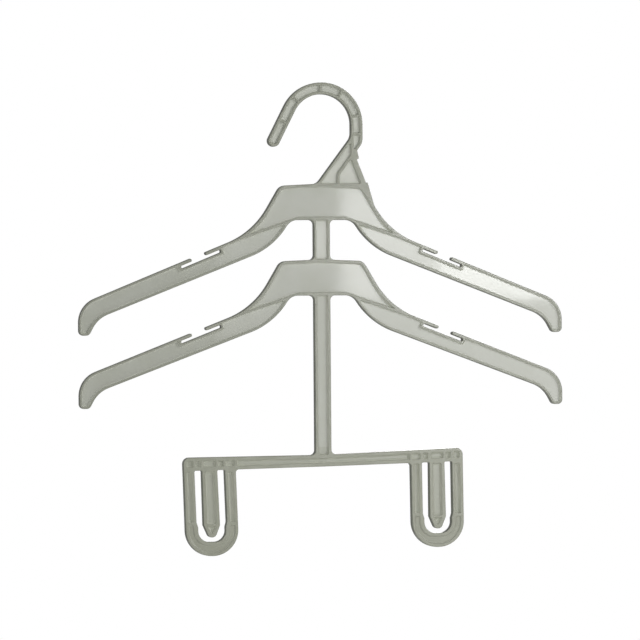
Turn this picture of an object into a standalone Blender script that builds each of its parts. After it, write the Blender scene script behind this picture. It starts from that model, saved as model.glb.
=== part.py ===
"""Two-tier clothes hanger for children's sets, moulded in natural polypropylene.

The hanger is one flat moulding: an outline of even depth, pocketed from the front and from the back so
that rims and ribs stand round thin webs. The moulding is drawn once, as an outline with pockets, and is
then parted across its members into named pieces. The two clip tongues are drawn by themselves, because
they bend out of the plane of the moulding.

The origin is the rail seat, inside the top of the hook. +X runs along the arms to the right, +Y to the
back and +Z up. Lengths are in metres and angles in degrees.
"""

import math
from typing import NamedTuple

import bmesh
import bpy
import numpy as np
from mathutils import Vector
from mathutils.geometry import delaunay_2d_cdt

# Section of the moulding
FRAME_DEPTH = 0.0060
WEB_THICKNESS = 0.0012
RIM = 0.0023
POCKET_DRAFT = 0.0004
POCKET_FILLET = 0.0010
SMALL_FILLET = 0.0008
FINE_FILLET = 0.0004

# Hook, a band bent round the rail
HOOK_BORE_RADIUS = 0.0186
HOOK_BAND = 0.0073
HOOK_OFFSET = 0.0003
HOOK_SHANK = 0.0081
HOOK_LEG = 0.0227
HOOK_LEG_LEAN = 26.9
HOOK_RIM = 0.0015
HOOK_RIB = 0.0018
HOOK_RIB_LEADS = (-0.0060, 0.0051, 0.0222, 0.0354, 0.0529, 0.0688)
HOOK_OUTER_FILLET = 0.0090
HOOK_INNER_FILLET = 0.0080

# Neck, the slanting panel from the hook to the yoke
NECK_HEIGHT = 0.0288
NECK_WIDTH = 0.0079
NECK_FOOT = -0.0027
NECK_FOOT_FILLET = 0.0060
NECK_RIB = 0.0020
NECK_RIB_FOOT = 0.0108

# Size marker seat, the gusset right of the neck
SEAT_FOOT = 0.0281
SEAT_LENGTH = 0.0142
SEAT_LEAN = 21.5
SEAT_NIB = 0.0016
SEAT_NIB_RISE = 35.0
SEAT_NIB_FILLET = 0.0002
SEAT_LEDGE = 0.0011
SEAT_LEDGE_LIFT = 0.0007
SEAT_TOP_LEAN = 13.5
SEAT_BLOCK_LEAN = 16.0

# Yoke, the same on both tiers
YOKE_HEIGHT = 0.0224
YOKE_CROWN = 0.0011
YOKE_HALF_TOP = 0.0260
YOKE_CORNER = 0.0060
YOKE_SIDE_SLOPE = 59.5
YOKE_HALF_BASE = 0.0197
YOKE_BASE_FILLET = 0.0083
YOKE_UNDER_SLOPE = 57.0
BRACE_SLOPE = 18.3
BRACE_DROP = 0.0007
BRACE_WIDTH = 0.0022

# Arms, the same on both tiers
ARM_SPAN = 0.3050
ARM_WIDTH = 0.0134
ARM_RIM = 0.0017
UPPER_ARM_SLOPE = 22.15
LOWER_ARM_SLOPE = 21.35
ARM_TAPER = 0.7
SHOULDER = 0.0428
SHOULDER_FILLET = 0.0500
ARMPIT_FILLET = 0.0470
TIP_LENGTH = 0.0187
TIP_WIDTH = 0.0061
TIP_INNER_SLOPE = 62.0
TIP_OUTER_FILLET = 0.0160
TIP_INNER_FILLET = 0.0180
TIP_CORNER = 0.0030

# Strap notch in the top of each arm, closed in part by two fingers
NOTCH_START = 0.0238
NOTCH_LENGTH = 0.0268
NOTCH_DEPTH = 0.0038
FINGER_THICKNESS = 0.0020
INNER_FINGER = 0.0096
OUTER_FINGER = 0.0078
FINGER_FILLET = 0.0008

# Stems
STEM_WIDTH = 0.0100
STEM_RIM = 0.0017
STEM_FILLET = 0.0030
UPPER_STEM_LENGTH = 0.0244
LOWER_STEM_LENGTH = 0.0988

# Clip bar, with its ends a little out of level
BAR_HEIGHT = 0.0072
BAR_END_HEIGHT = 0.0083
BAR_CORNER = 0.0040
BAR_RIM = 0.0021
BAR_RIB = 0.0016
BAR_LEFT_FALL = 0.45
BAR_RIGHT_RISE = 2.30

# Clip tongues, each as deep as the moulding
CLIP_PITCH = 0.1437
TONGUE_WIDTH = 0.0096
TONGUE_LENGTH = 0.0414
TONGUE_RIM = 0.0020
TONGUE_HEAD = 0.0075
TONGUE_TIP_WIDTH = 0.0030
TONGUE_TIP_FILLET = 0.0014
BARB = 0.0003
HEAD_RIB = 0.0012
ROOT_GAP = 0.0003
ROOT_CUTS = 7
ROOT_SPREAD = 75.0

# Clip loops, each drawn round its tongue
TONGUE_SLOT = 0.00475
TONGUE_TIP_GAP = 0.0028
LOOP_LEG = 0.0069
LOOP_FLOOR = 0.0087
LOOP_FILLET = 0.0020
LOOP_RIM = 0.0019
GRIP_LEAD = 0.0019
GRIP_STEP = 0.0009
GRIP_RAMP = 0.0030
GRIP_FILLET = 0.0070
GRIP_CHANNEL_DEPTH = 0.0008
LEFT_CLIP_LEAN = 2.0
RIGHT_CLIP_LEAN = -0.7

# Seams between the pieces, and the fineness of the curves
SEAM = 0.0001
STUB = 0.0050
SEAT_SEAM_TURN = 2.0
CHORD_ERROR = 0.00004
SHARP_EDGE = 30.0
MERGE = 1e-8

# Surface, in linear colour: the thicker the member, the greyer
HEAD_COLOUR = (0.44, 0.45, 0.42)
BODY_COLOUR = (0.48, 0.49, 0.46)
CLIP_COLOUR = (0.36, 0.37, 0.34)
SURFACE_ROUGHNESS = 0.28

# Sizes that follow from the ones above
LOOP_OPENING = TONGUE_WIDTH + 2 * TONGUE_SLOT
LOOP_WIDTH = LOOP_OPENING + 2 * LOOP_LEG
LOOP_DEPTH = TONGUE_LENGTH + TONGUE_TIP_GAP
LOOP_DROP = LOOP_DEPTH + LOOP_FLOOR
BARB_DROP = TONGUE_LENGTH - TONGUE_HEAD
GRIP_DROP = BARB_DROP - GRIP_LEAD
ROOT_RADIUS = FRAME_DEPTH / 2
HOOK_CENTRE = np.array([HOOK_OFFSET, -HOOK_BORE_RADIUS])
SHANK_END = HOOK_CENTRE[1] - HOOK_SHANK
UPPER_TOP = SHANK_END - NECK_HEIGHT
UPPER_BASE = UPPER_TOP - YOKE_HEIGHT
LOWER_TOP = UPPER_BASE - UPPER_STEM_LENGTH
LOWER_BASE = LOWER_TOP - YOKE_HEIGHT
BAR_TOP = LOWER_BASE - LOWER_STEM_LENGTH
WEB_HALF = WEB_THICKNESS / 2

LEFT, RIGHT = -1, 1


class Corner(NamedTuple):
    """A corner of a closed outline in the XZ plane, and the radius that rounds it."""

    at: np.ndarray
    radius: float = 0.0


class Pocket(NamedTuple):
    """A recess sunk from both faces, leaving twice the floor between them."""

    corners: list
    floor: float = WEB_HALF


class Cut(NamedTuple):
    """A parting plane square to the faces; the side that the heading points to is taken away."""

    at: np.ndarray
    heading: float


# Plane geometry


def point(x, z):
    """A point of the XZ plane."""
    return np.array([x, z], dtype=float)


def unit(heading):
    """The unit step along a heading, counted from +X towards +Z."""
    return point(math.cos(math.radians(heading)), math.sin(math.radians(heading)))


def beside(at, heading, distance):
    """A point moved to the left of a heading."""
    return at + distance * unit(heading + 90)


def heading_of(start, end):
    """The heading from one point to another."""
    return math.degrees(math.atan2(*(end - start)[::-1]))


def cross(a, b):
    """The turn from one direction to another, as the sine times the lengths."""
    return a[..., 0] * b[..., 1] - a[..., 1] * b[..., 0]


def meet(a, heading_a, b, heading_b):
    """Where the line through a crosses the line through b."""
    step, other = unit(heading_a), unit(heading_b)
    return a + cross(b - a, other) / cross(step, other) * step


def leave_circle(a, heading, centre, radius):
    """Where a line that starts outside a circle first meets it."""
    step = unit(heading)
    along = float((centre - a) @ step)
    reach = radius**2 - float(cross(centre - a, step)) ** 2
    return a + (along - math.sqrt(max(reach, 0.0))) * step


def mirrored(corners):
    """The same corners on the other side of the stem, still listed anticlockwise."""
    return [Corner(c.at * (-1, 1), c.radius) for c in reversed(corners)]


def lifted(corners, height):
    """The same corners moved up."""
    return [Corner(c.at + (0, height), c.radius) for c in corners]


def arc_steps(radius, turn):
    """The number of chords that keep an arc within the chord error."""
    if radius <= 2 * CHORD_ERROR:
        return 1
    return math.ceil(turn / (2 * math.acos(1 - CHORD_ERROR / radius)))


def rounded(corners, like=None):
    """The points of an outline, each corner rounded as far as its edges allow.

    A second outline given as like sets how many points each corner gets, so that the two can be joined.
    """
    at = np.array([c.at for c in corners])
    radius = np.array([c.radius for c in corners])
    back = np.roll(at, 1, axis=0) - at
    ahead = np.roll(at, -1, axis=0) - at
    length = np.linalg.norm(ahead, axis=1)
    back /= np.linalg.norm(back, axis=1)[:, None]
    ahead /= length[:, None]
    half = np.arccos(np.clip((back * ahead).sum(axis=1), -1, 1)) / 2
    tangent = radius / np.tan(half)
    wanted = tangent + np.roll(tangent, -1)
    share = np.minimum(1, length / np.maximum(wanted, MERGE))
    tangent *= np.minimum(share, np.roll(share, 1))
    way = np.sign(cross(-back, ahead))
    points = []
    for i, c in enumerate(like or corners):
        if c.radius <= 0:
            points.append(at[i])
            continue
        turn = math.pi - 2 * half[i]
        inward = (back[i] + ahead[i]) / (2 * math.cos(half[i]))
        centre = at[i] + inward * tangent[i] / math.cos(half[i])
        size = tangent[i] * math.tan(half[i])
        middle = math.atan2(-inward[1], -inward[0])
        for share_of_turn in np.linspace(-0.5, 0.5, arc_steps(c.radius, turn) + 1):
            angle = middle + way[i] * turn * share_of_turn
            points.append(centre + size * point(math.cos(angle), math.sin(angle)))
    return np.array(points)


def inset(corners, distance):
    """An outline moved inwards all round, with its radii made to follow."""
    at = np.array([c.at for c in corners])
    step = np.roll(at, -1, axis=0) - at
    step /= np.linalg.norm(step, axis=1)[:, None]
    normal = np.stack([-step[:, 1], step[:, 0]], axis=1)
    before = np.roll(normal, 1, axis=0)
    moved = at + distance * (before + normal) / (1 + (before * normal).sum(axis=1))[:, None]
    left_turn = cross(np.roll(step, 1, axis=0), step) > 0
    radius = [
        0.0 if c.radius == 0 else max(c.radius - distance, MERGE) if left else c.radius + distance
        for c, left in zip(corners, left_turn)
    ]
    return [Corner(p, r) for p, r in zip(moved, radius)]


# Solids


def filled(loops):
    """Triangles between the first loop and the loops inside it, as indices into all their points."""
    starts = np.cumsum([0] + [len(loop) for loop in loops])
    rings = [list(range(a, b)) for a, b in zip(starts, starts[1:])]
    corners = [Vector(p) for loop in loops for p in loop]
    _, _, faces, origins, _, owners = delaunay_2d_cdt(corners, [], rings, 1, MERGE)
    return [[origins[v][0] for v in face] for face, owner in zip(faces, owners) if owner == [0]]


def bridged(bm, ring, other):
    """Walls between two rings of the same number of points."""
    for i, vert in enumerate(ring):
        bm.faces.new((ring[i - 1], vert, other[i], other[i - 1]))


def moulding(outline, openings, pockets):
    """A flat moulding with openings through it and pockets in both of its faces."""
    bm = bmesh.new()
    through = [rounded(outline)] + [rounded(opening) for opening in openings]
    mouths = [rounded(pocket.corners) for pocket in pockets]
    floors = [rounded(inset(pocket.corners, POCKET_DRAFT), pocket.corners) for pocket in pockets]
    triangles = filled(through + mouths)
    sides = []
    for side in (LEFT, RIGHT):
        y = side * FRAME_DEPTH / 2
        rings = [[bm.verts.new((x, y, z)) for x, z in loop] for loop in through + mouths]
        every = [vert for ring in rings for vert in ring]
        for triangle in triangles:
            bm.faces.new([every[i] for i in triangle])
        for pocket, mouth, floor in zip(pockets, rings[len(through):], floors):
            ring = [bm.verts.new((x, side * pocket.floor, z)) for x, z in floor]
            bridged(bm, mouth, ring)
            bm.faces.new(ring)
        sides.append(rings[: len(through)])
    for front, rear in zip(*sides):
        bridged(bm, front, rear)
    bmesh.ops.recalc_face_normals(bm, faces=bm.faces)
    return bm


def cut_off(bm, at, normal):
    """Takes away what lies beyond a plane and closes the cut."""
    everything = bm.verts[:] + bm.edges[:] + bm.faces[:]
    bmesh.ops.bisect_plane(
        bm, geom=everything, dist=MERGE, plane_co=at, plane_no=normal, clear_outer=True
    )
    bmesh.ops.holes_fill(bm, edges=[edge for edge in bm.edges if edge.is_boundary], sides=0)


def parted(bm, cuts):
    """A copy of the moulding held back half a seam from each of its cuts."""
    piece = bm.copy()
    for cut in cuts:
        normal = unit(cut.heading)
        at = cut.at - SEAM / 2 * normal
        cut_off(piece, (at[0], 0, at[1]), (normal[0], 0, normal[1]))
    return piece


def far_side(cut):
    """The same plane with the other side taken away."""
    return Cut(cut.at, cut.heading + 180)


def across(cut):
    """The same plane on the other side of the stem."""
    return Cut(cut.at * (-1, 1), 180 - cut.heading)


# Tiers

YOKE_TOP_CORNER = point(YOKE_HALF_TOP, YOKE_HEIGHT - YOKE_CROWN)
YOKE_TOP_HEADING = heading_of(YOKE_TOP_CORNER, point(0, YOKE_HEIGHT))
YOKE_SIDE_HEADING = 180 - YOKE_SIDE_SLOPE
YOKE_BASE_CORNER = point(YOKE_HALF_BASE, 0)
SHOULDER_CORNER = meet(YOKE_TOP_CORNER, YOKE_SIDE_HEADING, point(SHOULDER, 0), 90)
BRACE_POINT = YOKE_BASE_CORNER - (0, BRACE_DROP)


class Tier:
    """A yoke with its two arms, drawn on its right half with heights from the yoke's lower edge."""

    def __init__(self, base, arm_slope):
        """Lays out the lines of the right arm, which falls at the given slope."""
        self.base = base
        self.out = -arm_slope
        self.under_out = ARM_TAPER - arm_slope
        self.under_point = beside(SHOULDER_CORNER, self.out, -ARM_WIDTH)
        self.armpit = meet(YOKE_BASE_CORNER, -YOKE_UNDER_SLOPE, self.under_point, self.under_out)
        self.tip_top = meet(SHOULDER_CORNER, self.out, point(ARM_SPAN / 2, 0), 90)
        self.tip_outer = self.tip_top - (0, TIP_LENGTH)
        self.tip_inner = self.tip_outer - (TIP_WIDTH, 0)

    def on_arm(self, along, depth):
        """A point of the arm by its way out from the shoulder and its depth below the top edge."""
        return beside(SHOULDER_CORNER + along * unit(self.out), self.out, -depth)

    def edge(self):
        """The outline out along the underside, round the tip and back to the shoulder."""
        end = NOTCH_START + NOTCH_LENGTH
        inner_end = NOTCH_START + INNER_FINGER
        outer_end = end - OUTER_FINGER
        slot = (NOTCH_DEPTH - FINGER_THICKNESS) / 2
        tip_root = meet(self.tip_inner, -TIP_INNER_SLOPE, self.under_point, self.under_out)
        corners = [
            Corner(YOKE_BASE_CORNER, YOKE_BASE_FILLET),
            Corner(self.armpit, ARMPIT_FILLET),
            Corner(tip_root, TIP_INNER_FILLET),
            Corner(self.tip_inner, TIP_CORNER),
            Corner(self.tip_outer, TIP_CORNER),
            Corner(self.tip_top, TIP_OUTER_FILLET),
            Corner(self.on_arm(outer_end, 0), FINGER_FILLET),
            Corner(self.on_arm(outer_end, FINGER_THICKNESS), FINGER_FILLET),
            Corner(self.on_arm(end, FINGER_THICKNESS), slot),
            Corner(self.on_arm(end, NOTCH_DEPTH), slot),
            Corner(self.on_arm(NOTCH_START, NOTCH_DEPTH), slot),
            Corner(self.on_arm(NOTCH_START, FINGER_THICKNESS), slot),
            Corner(self.on_arm(inner_end, FINGER_THICKNESS), FINGER_FILLET),
            Corner(self.on_arm(inner_end, 0), FINGER_FILLET),
            Corner(SHOULDER_CORNER, SHOULDER_FILLET),
        ]
        return lifted(corners, self.base)

    def yoke_corner(self):
        """The rounded top corner of the yoke."""
        return lifted([Corner(YOKE_TOP_CORNER, YOKE_CORNER)], self.base)

    def arm_pocket(self):
        """The pocket of the arm, from the brace at the yoke to the tip and back under the notch."""
        end = NOTCH_START + NOTCH_LENGTH + ARM_RIM
        start = NOTCH_START - ARM_RIM
        deep = NOTCH_DEPTH + ARM_RIM
        brace = beside(BRACE_POINT, -BRACE_SLOPE, -BRACE_WIDTH / 2)
        under = beside(YOKE_BASE_CORNER, -YOKE_UNDER_SLOPE, ARM_RIM)
        base = beside(self.under_point, self.under_out, ARM_RIM)
        inner = beside(self.tip_inner, -TIP_INNER_SLOPE, ARM_RIM)
        floor = self.tip_inner + (0, ARM_RIM)
        outer = self.tip_top - (ARM_RIM, 0)
        top = self.on_arm(0, ARM_RIM)
        corners = [
            Corner(meet(brace, -BRACE_SLOPE, under, -YOKE_UNDER_SLOPE), SMALL_FILLET),
            Corner(meet(under, -YOKE_UNDER_SLOPE, base, self.under_out), ARMPIT_FILLET - ARM_RIM),
            Corner(meet(base, self.under_out, inner, -TIP_INNER_SLOPE), TIP_INNER_FILLET + ARM_RIM),
            Corner(meet(inner, -TIP_INNER_SLOPE, floor, 0), SMALL_FILLET),
            Corner(meet(floor, 0, outer, 90), SMALL_FILLET),
            Corner(meet(outer, 90, top, self.out), TIP_OUTER_FILLET - ARM_RIM),
            Corner(self.on_arm(end, ARM_RIM), POCKET_FILLET),
            Corner(self.on_arm(end, deep), POCKET_FILLET),
            Corner(self.on_arm(start, deep), POCKET_FILLET),
            Corner(self.on_arm(start, ARM_RIM), POCKET_FILLET),
            Corner(meet(top, self.out, brace, -BRACE_SLOPE), SHOULDER_FILLET),
        ]
        return lifted(corners, self.base)

    def yoke_pocket(self):
        """The pocket of the yoke, drawn out on both sides to a wedge between brace and shoulder."""
        run = SHOULDER_FILLET * math.tan(math.radians(YOKE_SIDE_SLOPE + self.out) / 2)
        start = SHOULDER_CORNER + run * unit(YOKE_SIDE_HEADING)
        centre = beside(start, YOKE_SIDE_HEADING, -SHOULDER_FILLET)
        bend = SHOULDER_FILLET + RIM
        brace = beside(BRACE_POINT, -BRACE_SLOPE, BRACE_WIDTH / 2)
        wedge = leave_circle(brace, -BRACE_SLOPE, centre, bend)
        tangent = heading_of(centre, wedge) + 90
        side = beside(SHOULDER_CORNER, YOKE_SIDE_HEADING, RIM)
        top = beside(YOKE_TOP_CORNER, YOKE_TOP_HEADING, RIM)
        half = [
            Corner(meet(brace, -BRACE_SLOPE, point(0, RIM), 0), STEM_FILLET),
            Corner(wedge, FINE_FILLET),
            Corner(meet(wedge, tangent, side, YOKE_SIDE_HEADING), bend),
            Corner(meet(side, YOKE_SIDE_HEADING, top, YOKE_TOP_HEADING), YOKE_CORNER - POCKET_FILLET),
        ]
        crown = Corner(meet(top, YOKE_TOP_HEADING, point(0, 0), 90))
        return lifted(half + [crown] + mirrored(half), self.base)


UPPER = Tier(UPPER_BASE, UPPER_ARM_SLOPE)
LOWER = Tier(LOWER_BASE, LOWER_ARM_SLOPE)


# Hook, neck and size marker seat

SHANK_INNER = HOOK_CENTRE[0] + HOOK_BORE_RADIUS
NECK_LEFT_FOOT = point(NECK_FOOT, UPPER_TOP)
NECK_LEFT_HEAD = point(SHANK_INNER, SHANK_END)
NECK_UP = heading_of(NECK_LEFT_FOOT, NECK_LEFT_HEAD)
NECK_RIGHT_POINT = beside(NECK_LEFT_HEAD, NECK_UP, -NECK_WIDTH)
SHANK_OUTER = point(SHANK_INNER + HOOK_BAND, 0)
LEDGE = UPPER_TOP + SEAT_LEDGE_LIFT
NIB_UNDER = meet(point(SEAT_FOOT, LEDGE), 90 + SEAT_LEAN, point(0, LEDGE + SEAT_LENGTH), 0)
NIB_TIP = NIB_UNDER + SEAT_NIB * unit(SEAT_NIB_RISE)
SEAT_APEX = meet(NIB_TIP, 90 + SEAT_TOP_LEAN, NECK_RIGHT_POINT, NECK_UP)


def hook_place(lead, outward):
    """A point of the hook by its way along the band's middle and its way out from it.

    The way starts where the shank meets the bend and runs over the top to the open end.
    """
    middle = HOOK_BORE_RADIUS + HOOK_BAND / 2
    bend = math.radians(180 - HOOK_LEG_LEAN) * middle
    angle = math.degrees(min(max(lead, 0), bend) / middle)
    straight = lead - min(max(lead, 0), bend)
    return HOOK_CENTRE + (middle + outward) * unit(angle) + straight * unit(angle + 90)


def hook_side(start, end, outward):
    """Corners along the band at one distance from its middle, with none on the straight runs."""
    middle = HOOK_BORE_RADIUS + HOOK_BAND / 2
    step = math.sqrt(8 * middle * CHORD_ERROR)
    bend = math.radians(180 - HOOK_LEG_LEAN) * middle
    low, high = min(max(start, 0), bend), min(max(end, 0), bend)
    count = max(1, math.ceil(abs(high - low) / step))
    leads = list(np.linspace(low, high, count + 1)) if high != low else []
    ends = [lead for lead in (start, end) if not 0 <= lead <= bend]
    return [Corner(hook_place(lead, outward)) for lead in sorted(leads + ends)]


def hook_length():
    """The way along the band from the bend's start to the open end's centre."""
    middle = HOOK_BORE_RADIUS + HOOK_BAND / 2
    return math.radians(180 - HOOK_LEG_LEAN) * middle + HOOK_LEG


def hook_edge():
    """The hook from the outer corner at the neck over the top, round its open end and back inside."""
    half = HOOK_BAND / 2
    end = hook_length() + half
    outer = hook_side(0, hook_length() - half, half)
    inner = hook_side(0, hook_length() - half, -half)
    corner = meet(NECK_RIGHT_POINT, NECK_UP, SHANK_OUTER, 90)
    return (
        [Corner(corner, HOOK_OUTER_FILLET)]
        + outer
        + [Corner(hook_place(end, half), half), Corner(hook_place(end, -half), half)]
        + inner[::-1]
        + [Corner(NECK_LEFT_HEAD, HOOK_INNER_FILLET)]
    )


def hook_pockets():
    """The cells between the cross ribs of the hook, and the wedge where the shank runs into the neck."""
    half = HOOK_BAND / 2 - HOOK_RIM
    bounds = list(HOOK_RIB_LEADS) + [hook_length() + HOOK_RIM + HOOK_RIB / 2]
    cells = []
    for lead, after in zip(bounds, bounds[1:]):
        span = (lead + HOOK_RIB / 2, after - HOOK_RIB / 2)
        outer = hook_side(*span, half)
        inner = hook_side(*span, -half)[::-1]
        for side in (outer, inner):
            side[0] = Corner(side[0].at, SMALL_FILLET)
            side[-1] = Corner(side[-1].at, SMALL_FILLET)
        cells.append(Pocket(outer + inner))
    top = hook_place(bounds[0] - HOOK_RIB / 2, 0)[1]
    inner_x = SHANK_INNER + HOOK_RIM
    outer_x = SHANK_OUTER[0] - HOOK_RIM
    rim = beside(NECK_RIGHT_POINT, NECK_UP, NECK_RIB)
    wedge = [
        Corner(meet(rim, NECK_UP, point(inner_x, 0), 90), SMALL_FILLET),
        Corner(meet(rim, NECK_UP, point(outer_x, 0), 90), HOOK_OUTER_FILLET - HOOK_RIM),
        Corner(point(outer_x, top), SMALL_FILLET),
        Corner(point(inner_x, top), SMALL_FILLET),
    ]
    return cells + [Pocket(wedge)]


def neck_pocket():
    """The long pocket of the neck, left of its slanting rib."""
    left = beside(NECK_LEFT_FOOT, NECK_UP, -RIM)
    rib = beside(NECK_RIGHT_POINT, NECK_UP, NECK_RIB)
    foot = point(NECK_RIB_FOOT - NECK_RIB / 2, UPPER_TOP)
    return [
        Corner(meet(left, NECK_UP, NECK_LEFT_FOOT, 0), SMALL_FILLET),
        Corner(foot, SMALL_FILLET),
        Corner(meet(foot, 90, rib, NECK_UP), NECK_FOOT_FILLET),
        Corner(meet(rib, NECK_UP, NECK_LEFT_HEAD, 90), SMALL_FILLET),
        Corner(meet(left, NECK_UP, NECK_LEFT_HEAD, 90), SMALL_FILLET),
    ]


def seat_edge():
    """The size marker seat: up the corner block, over the ledge, along the recess and round the nib."""
    ledge_end = point(SEAT_FOOT + SEAT_LEDGE, LEDGE)
    shoulder = SHOULDER_CORNER + (0, UPPER_BASE)
    block = meet(ledge_end, SEAT_BLOCK_LEAN - 90, shoulder, YOKE_SIDE_HEADING)
    return [
        Corner(block, YOKE_CORNER),
        Corner(ledge_end, FINE_FILLET),
        Corner(point(SEAT_FOOT, LEDGE), SEAT_NIB_FILLET),
        Corner(NIB_UNDER, SEAT_NIB_FILLET),
        Corner(NIB_TIP, SEAT_NIB_FILLET),
        Corner(SEAT_APEX, SMALL_FILLET),
    ]


def seat_pocket():
    """The three-cornered pocket of the size marker seat."""
    rib = NECK_RIGHT_POINT
    foot = point(NECK_RIB_FOOT + NECK_RIB / 2, UPPER_TOP)
    edge = beside(NIB_UNDER, 90 + SEAT_LEAN, RIM + SEAT_NIB / 2)
    return [
        Corner(foot, SMALL_FILLET),
        Corner(meet(foot, 0, edge, 90 + SEAT_LEAN), SMALL_FILLET),
        Corner(meet(rib, NECK_UP, edge, 90 + SEAT_LEAN), SMALL_FILLET),
        Corner(meet(foot, 90, rib, NECK_UP), NECK_FOOT_FILLET),
    ]


# Stems, bar and clips


def stem_pocket(top, bottom):
    """The pocket of a stem, open to neither of the rims that cross its ends."""
    half = STEM_WIDTH / 2 - STEM_RIM
    corners = [(-half, bottom), (half, bottom), (half, top), (-half, top)]
    return [Corner(point(*c), POCKET_FILLET) for c in corners]


def on_bar(x, depth):
    """A point of the bar by its place along it and its depth below the top edge."""
    slope = BAR_RIGHT_RISE if x > 0 else BAR_LEFT_FALL
    return point(x, BAR_TOP + x * math.tan(math.radians(slope)) - depth)


def under_bar(x, lift=0):
    """A point of the bar by its place along it and its height above the lower edge."""
    growth = abs(x) / (CLIP_PITCH / 2 + LOOP_WIDTH / 2)
    return on_bar(x, BAR_HEIGHT + growth * (BAR_END_HEIGHT - BAR_HEIGHT) - lift)


def under_slope(side):
    """The heading of the bar's lower edge on one side of the stem, taken to the right."""
    return heading_of(*sorted((under_bar(0), under_bar(side * CLIP_PITCH / 2)), key=lambda p: p[0]))


def clip_lean(side):
    """How far one clip leans with its foot towards the stem."""
    return RIGHT_CLIP_LEAN if side == RIGHT else LEFT_CLIP_LEAN


def on_clip(side, x, drop):
    """A point of a clip by its way out from the clip's middle and its drop below the bar."""
    place = side * (CLIP_PITCH / 2 + x)
    shift = -side * drop * math.tan(math.radians(clip_lean(side)))
    middle = under_bar(side * CLIP_PITCH / 2)[1]
    level = under_bar(place)[1] if drop == 0 else middle - drop
    return point(place + shift, level)


def in_order(corners, side):
    """Corners drawn for the right clip, listed anticlockwise for either clip."""
    return corners if side == RIGHT else corners[::-1]


def loop_edge(side):
    """The outside of a clip loop with the end of the bar above it, from the inner side outwards."""
    half = LOOP_WIDTH / 2
    end = side * (CLIP_PITCH / 2 + half)
    corners = [
        Corner(on_clip(side, -half, 0), LOOP_FILLET),
        Corner(on_clip(side, -half, LOOP_DROP), half),
        Corner(on_clip(side, half, LOOP_DROP), half),
        Corner(on_bar(end, 0), BAR_CORNER),
    ]
    return in_order(corners, side)


def loop_opening(side):
    """The hole that the tongue stands in, narrower below the grip's step."""
    half = LOOP_OPENING / 2
    grip = half - GRIP_STEP
    corners = [
        Corner(on_clip(side, -half, 0), SMALL_FILLET),
        Corner(on_clip(side, -half, GRIP_DROP), POCKET_FILLET),
        Corner(on_clip(side, -grip, GRIP_DROP + GRIP_RAMP), POCKET_FILLET),
        Corner(on_clip(side, -grip, LOOP_DEPTH), GRIP_FILLET),
        Corner(on_clip(side, grip, LOOP_DEPTH), GRIP_FILLET),
        Corner(on_clip(side, grip, GRIP_DROP + GRIP_RAMP), POCKET_FILLET),
        Corner(on_clip(side, half, GRIP_DROP), POCKET_FILLET),
        Corner(on_clip(side, half, 0), SMALL_FILLET),
    ]
    return in_order(corners, side)


def loop_pockets(side):
    """The channels of the two legs, and the shallow one that runs round the grip."""
    outer = LOOP_WIDTH / 2 - LOOP_RIM
    inner = LOOP_OPENING / 2 + LOOP_RIM
    pockets = []
    for leg in (LEFT, RIGHT):
        corners = [
            Corner(on_clip(side, leg * inner, LOOP_FILLET / 2), SMALL_FILLET),
            Corner(on_clip(side, leg * inner, GRIP_DROP), SMALL_FILLET),
            Corner(on_clip(side, leg * outer, GRIP_DROP), SMALL_FILLET),
            Corner(on_clip(side, leg * outer, LOOP_FILLET / 2), SMALL_FILLET),
        ]
        pockets.append(Pocket(in_order(corners, side * leg)))
    top = GRIP_DROP + LOOP_RIM
    base = LOOP_DROP - LOOP_RIM
    floor = LOOP_DEPTH + LOOP_RIM
    bend = LOOP_WIDTH / 2 - LOOP_RIM
    grip = [
        Corner(on_clip(side, -outer, top), SMALL_FILLET),
        Corner(on_clip(side, -outer, base), bend),
        Corner(on_clip(side, outer, base), bend),
        Corner(on_clip(side, outer, top), SMALL_FILLET),
        Corner(on_clip(side, inner, top), SMALL_FILLET),
        Corner(on_clip(side, inner, floor), GRIP_FILLET + LOOP_RIM),
        Corner(on_clip(side, -inner, floor), GRIP_FILLET + LOOP_RIM),
        Corner(on_clip(side, -inner, top), SMALL_FILLET),
    ]
    pockets.append(Pocket(in_order(grip, side), FRAME_DEPTH / 2 - GRIP_CHANNEL_DEPTH))
    return pockets


def bar_pockets():
    """The bar's long channel under the stem, and the small cells over each clip."""
    end = CLIP_PITCH / 2 - LOOP_WIDTH / 2 - BAR_RIB / 2
    low = [Corner(under_bar(x, BAR_RIM), SMALL_FILLET if x else 0.0) for x in (-end, 0, end)]
    high = [Corner(on_bar(x, BAR_RIM), SMALL_FILLET if x else 0.0) for x in (end, 0, -end)]
    pockets = [Pocket(low + high)]
    half, tongue = LOOP_OPENING / 2, TONGUE_WIDTH / 2
    last = LOOP_WIDTH / 2 - BAR_RIM + BAR_RIB / 2
    ribs = (-LOOP_WIDTH / 2, -half, -tongue, tongue, half, last)
    for side in (LEFT, RIGHT):
        for rib, after in zip(ribs, ribs[1:]):
            start = side * (CLIP_PITCH / 2 + rib + BAR_RIB / 2)
            stop = side * (CLIP_PITCH / 2 + after - BAR_RIB / 2)
            cell = [under_bar(start, BAR_RIM), under_bar(stop, BAR_RIM)]
            cell += [on_bar(stop, BAR_RIM), on_bar(start, BAR_RIM)]
            pockets.append(Pocket(in_order([Corner(at, SMALL_FILLET) for at in cell], side)))
    return pockets


def tongue_pivot(side):
    """The middle of the tongue's root, that it bends about."""
    return on_clip(side, 0, ROOT_GAP + ROOT_RADIUS)


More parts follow.
